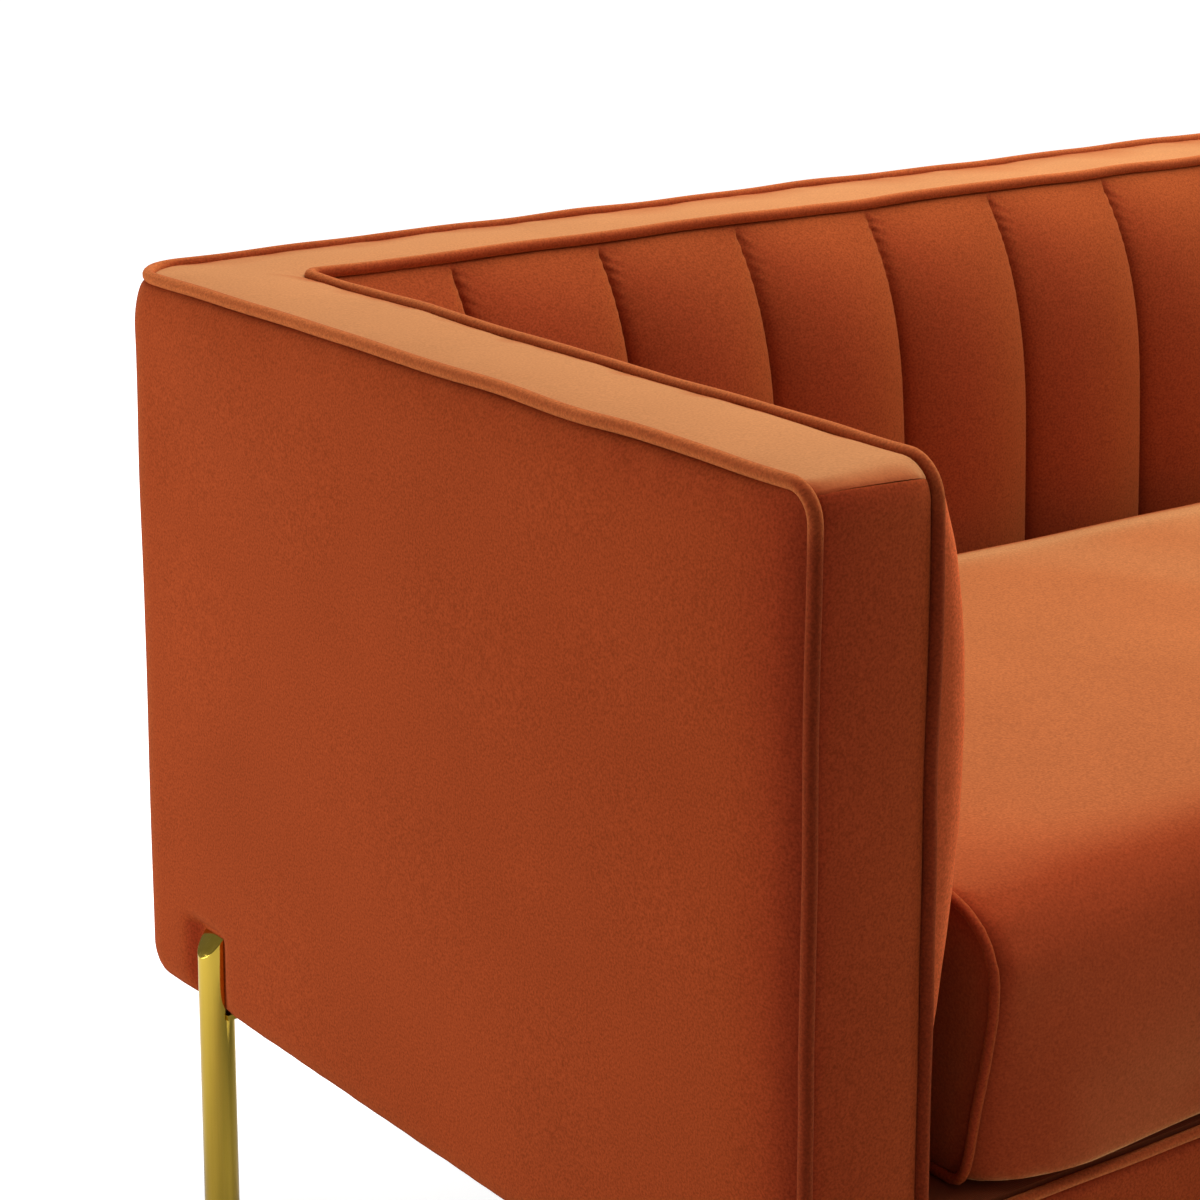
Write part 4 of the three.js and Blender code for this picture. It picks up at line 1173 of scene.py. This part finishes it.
def dust_sheet():
    def face(s, t):
        x, y = over(DUST_LOW, DUST_HIGH, s, t)
        return x, y, np.full_like(x, DUST_HIGH[2])

    def back(s, t):
        x, y = over(DUST_LOW, DUST_HIGH, s, t)
        sag = 0.35 * MM * waves(x, y, 300 * MM, 91)
        return x, y, DUST_LOW[2] + 0.5 * MM + sag

    return panel("dust_cloth_sheet", 80, 40, face, back)


fit(deck(), "seat_deck", DECK_CLOTH)
sheet = dust_sheet()
fit(sheet, "dust_cover", DUST_CLOTH)


# %% [markdown]
# Each leg is a brass tube. Its inner half is cut away where it meets the body, so that the outer half runs up
# beside the cover as a half-round tongue, and the end of the tongue is sliced off on a slant that faces out
# and up. It is modelled as on a lathe and a saw: a cylinder, a cut across its top face, one half drawn up,
# and a slanting cut.

# %% Legs
LEG_BOTTOM = 6.3 * MM
LEG_LEDGE = FRAME_UNDER - 4.7 * MM
LEG_FACET = UNDER + 59.7 * MM
FACET_RISE = 1.2


def leg(word, side, end):
    deselect()
    tall = LEG_LEDGE - LEG_BOTTOM
    bpy.ops.mesh.primitive_cylinder_add(vertices=64, radius=LEG_RADIUS, depth=tall,
                                        location=(0, 0, LEG_BOTTOM + tall / 2))
    piece = bpy.context.object
    piece.name = f"brass_leg_{word}"
    bpy.ops.object.transform_apply()
    edit_all()
    bpy.ops.mesh.bisect(plane_co=(0, 0, 0), plane_no=(1, 0, 0))
    bpy.ops.mesh.select_all(action="DESELECT")
    bpy.ops.object.mode_set(mode="OBJECT")
    for face in piece.data.polygons:
        face.select = face.center.z > LEG_LEDGE - 0.1 * MM and face.center.x * side > 0
    bpy.ops.object.mode_set(mode="EDIT")
    reach = LEG_FACET + FACET_RISE * LEG_RADIUS + 4 * MM - LEG_LEDGE
    bpy.ops.mesh.extrude_region_move(TRANSFORM_OT_translate={"value": (0, 0, reach)})
    bpy.ops.mesh.select_all(action="SELECT")
    slant = Vector((side * FACET_RISE, 0, 1)).normalized()
    bpy.ops.mesh.bisect(plane_co=(0, 0, LEG_FACET), plane_no=slant, clear_outer=True, use_fill=True)
    bpy.ops.mesh.select_all(action="SELECT")
    bpy.ops.mesh.normals_make_consistent(inside=False)
    bpy.ops.object.mode_set(mode="OBJECT")
    bevel = piece.modifiers.new("eased_edges", "BEVEL")
    bevel.width = 0.7 * MM
    bevel.segments = 2
    bevel.limit_method = "ANGLE"
    bevel.angle_limit = math.radians(40)
    bpy.ops.object.modifier_apply(modifier="eased_edges")
    piece.location = (side * LEG_X, end * LEG_Y, 0)
    bpy.ops.object.transform_apply()
    bpy.ops.object.shade_smooth_by_angle(angle=math.radians(35))
    fit(piece, f"leg_tube_{word}", BRASS)


for side, word in SIDES:
    for end, place in ((-1, "front"), (1, "rear")):
        leg(f"{place}_{word}", side, end)

# %% [markdown]
# The floor is a broad plane. The camera sees it as plain white, as in the photograph, except where the sofa
# shades it. Far from the lamps it glows a little more, so that it stays as white as it is beside the sofa. The
# photograph's brass mirrors a darker room, so mirrored rays see only a small share of that white.

# %% Floor
FLOOR_MIRRORED = 0.16
SKY_MIRRORED = 0.03


def seen_directly(tree, mirrored):
    """1 for a ray from the camera, a share for one that metal mirrors, and 0 for light that bounces about."""
    rays = add_node(tree, "ShaderNodeLightPath")
    seen = {0: rays["Is Glossy Ray"], 1: mirrored, 2: rays["Is Camera Ray"]}
    seen = add_node(tree, "ShaderNodeMath", seen, operation="MULTIPLY_ADD")["Value"]
    seen = {0: seen, 1: rays["Is Transmission Ray"]}
    return add_node(tree, "ShaderNodeMath", seen, operation="ADD", use_clamp=True)["Value"]


def pale_floor():
    deselect()
    bpy.ops.mesh.primitive_plane_add(size=60)
    floor = bpy.context.object
    floor.name = "floor"
    finish = Finish("pale_floor")
    away = finish.node("ShaderNodeVectorMath", {0: finish.place}, operation="LENGTH")["Value"]
    far = stretched(finish.tree, away, 3.0, 9.0, 0.80, 0.97)
    glow = finish.times(seen_directly(finish.tree, FLOOR_MIRRORED), far)
    finish.set(Base_Color=(0.8, 0.8, 0.8, 1), Roughness=0.9, Specular_IOR_Level=0.1,
               Emission_Color=(1, 1, 1, 1), Emission_Strength=glow)
    floor.data.materials.append(finish.material)
    return floor


floor = pale_floor()
seen = seen_directly(world.node_tree, SKY_MIRRORED)
sky = stretched(world.node_tree, seen, 0, 1, SKY, 1.0)
world.node_tree.links.new(sky, world.node_tree.nodes["Background"].inputs["Strength"])
print("floor:", floor.name)
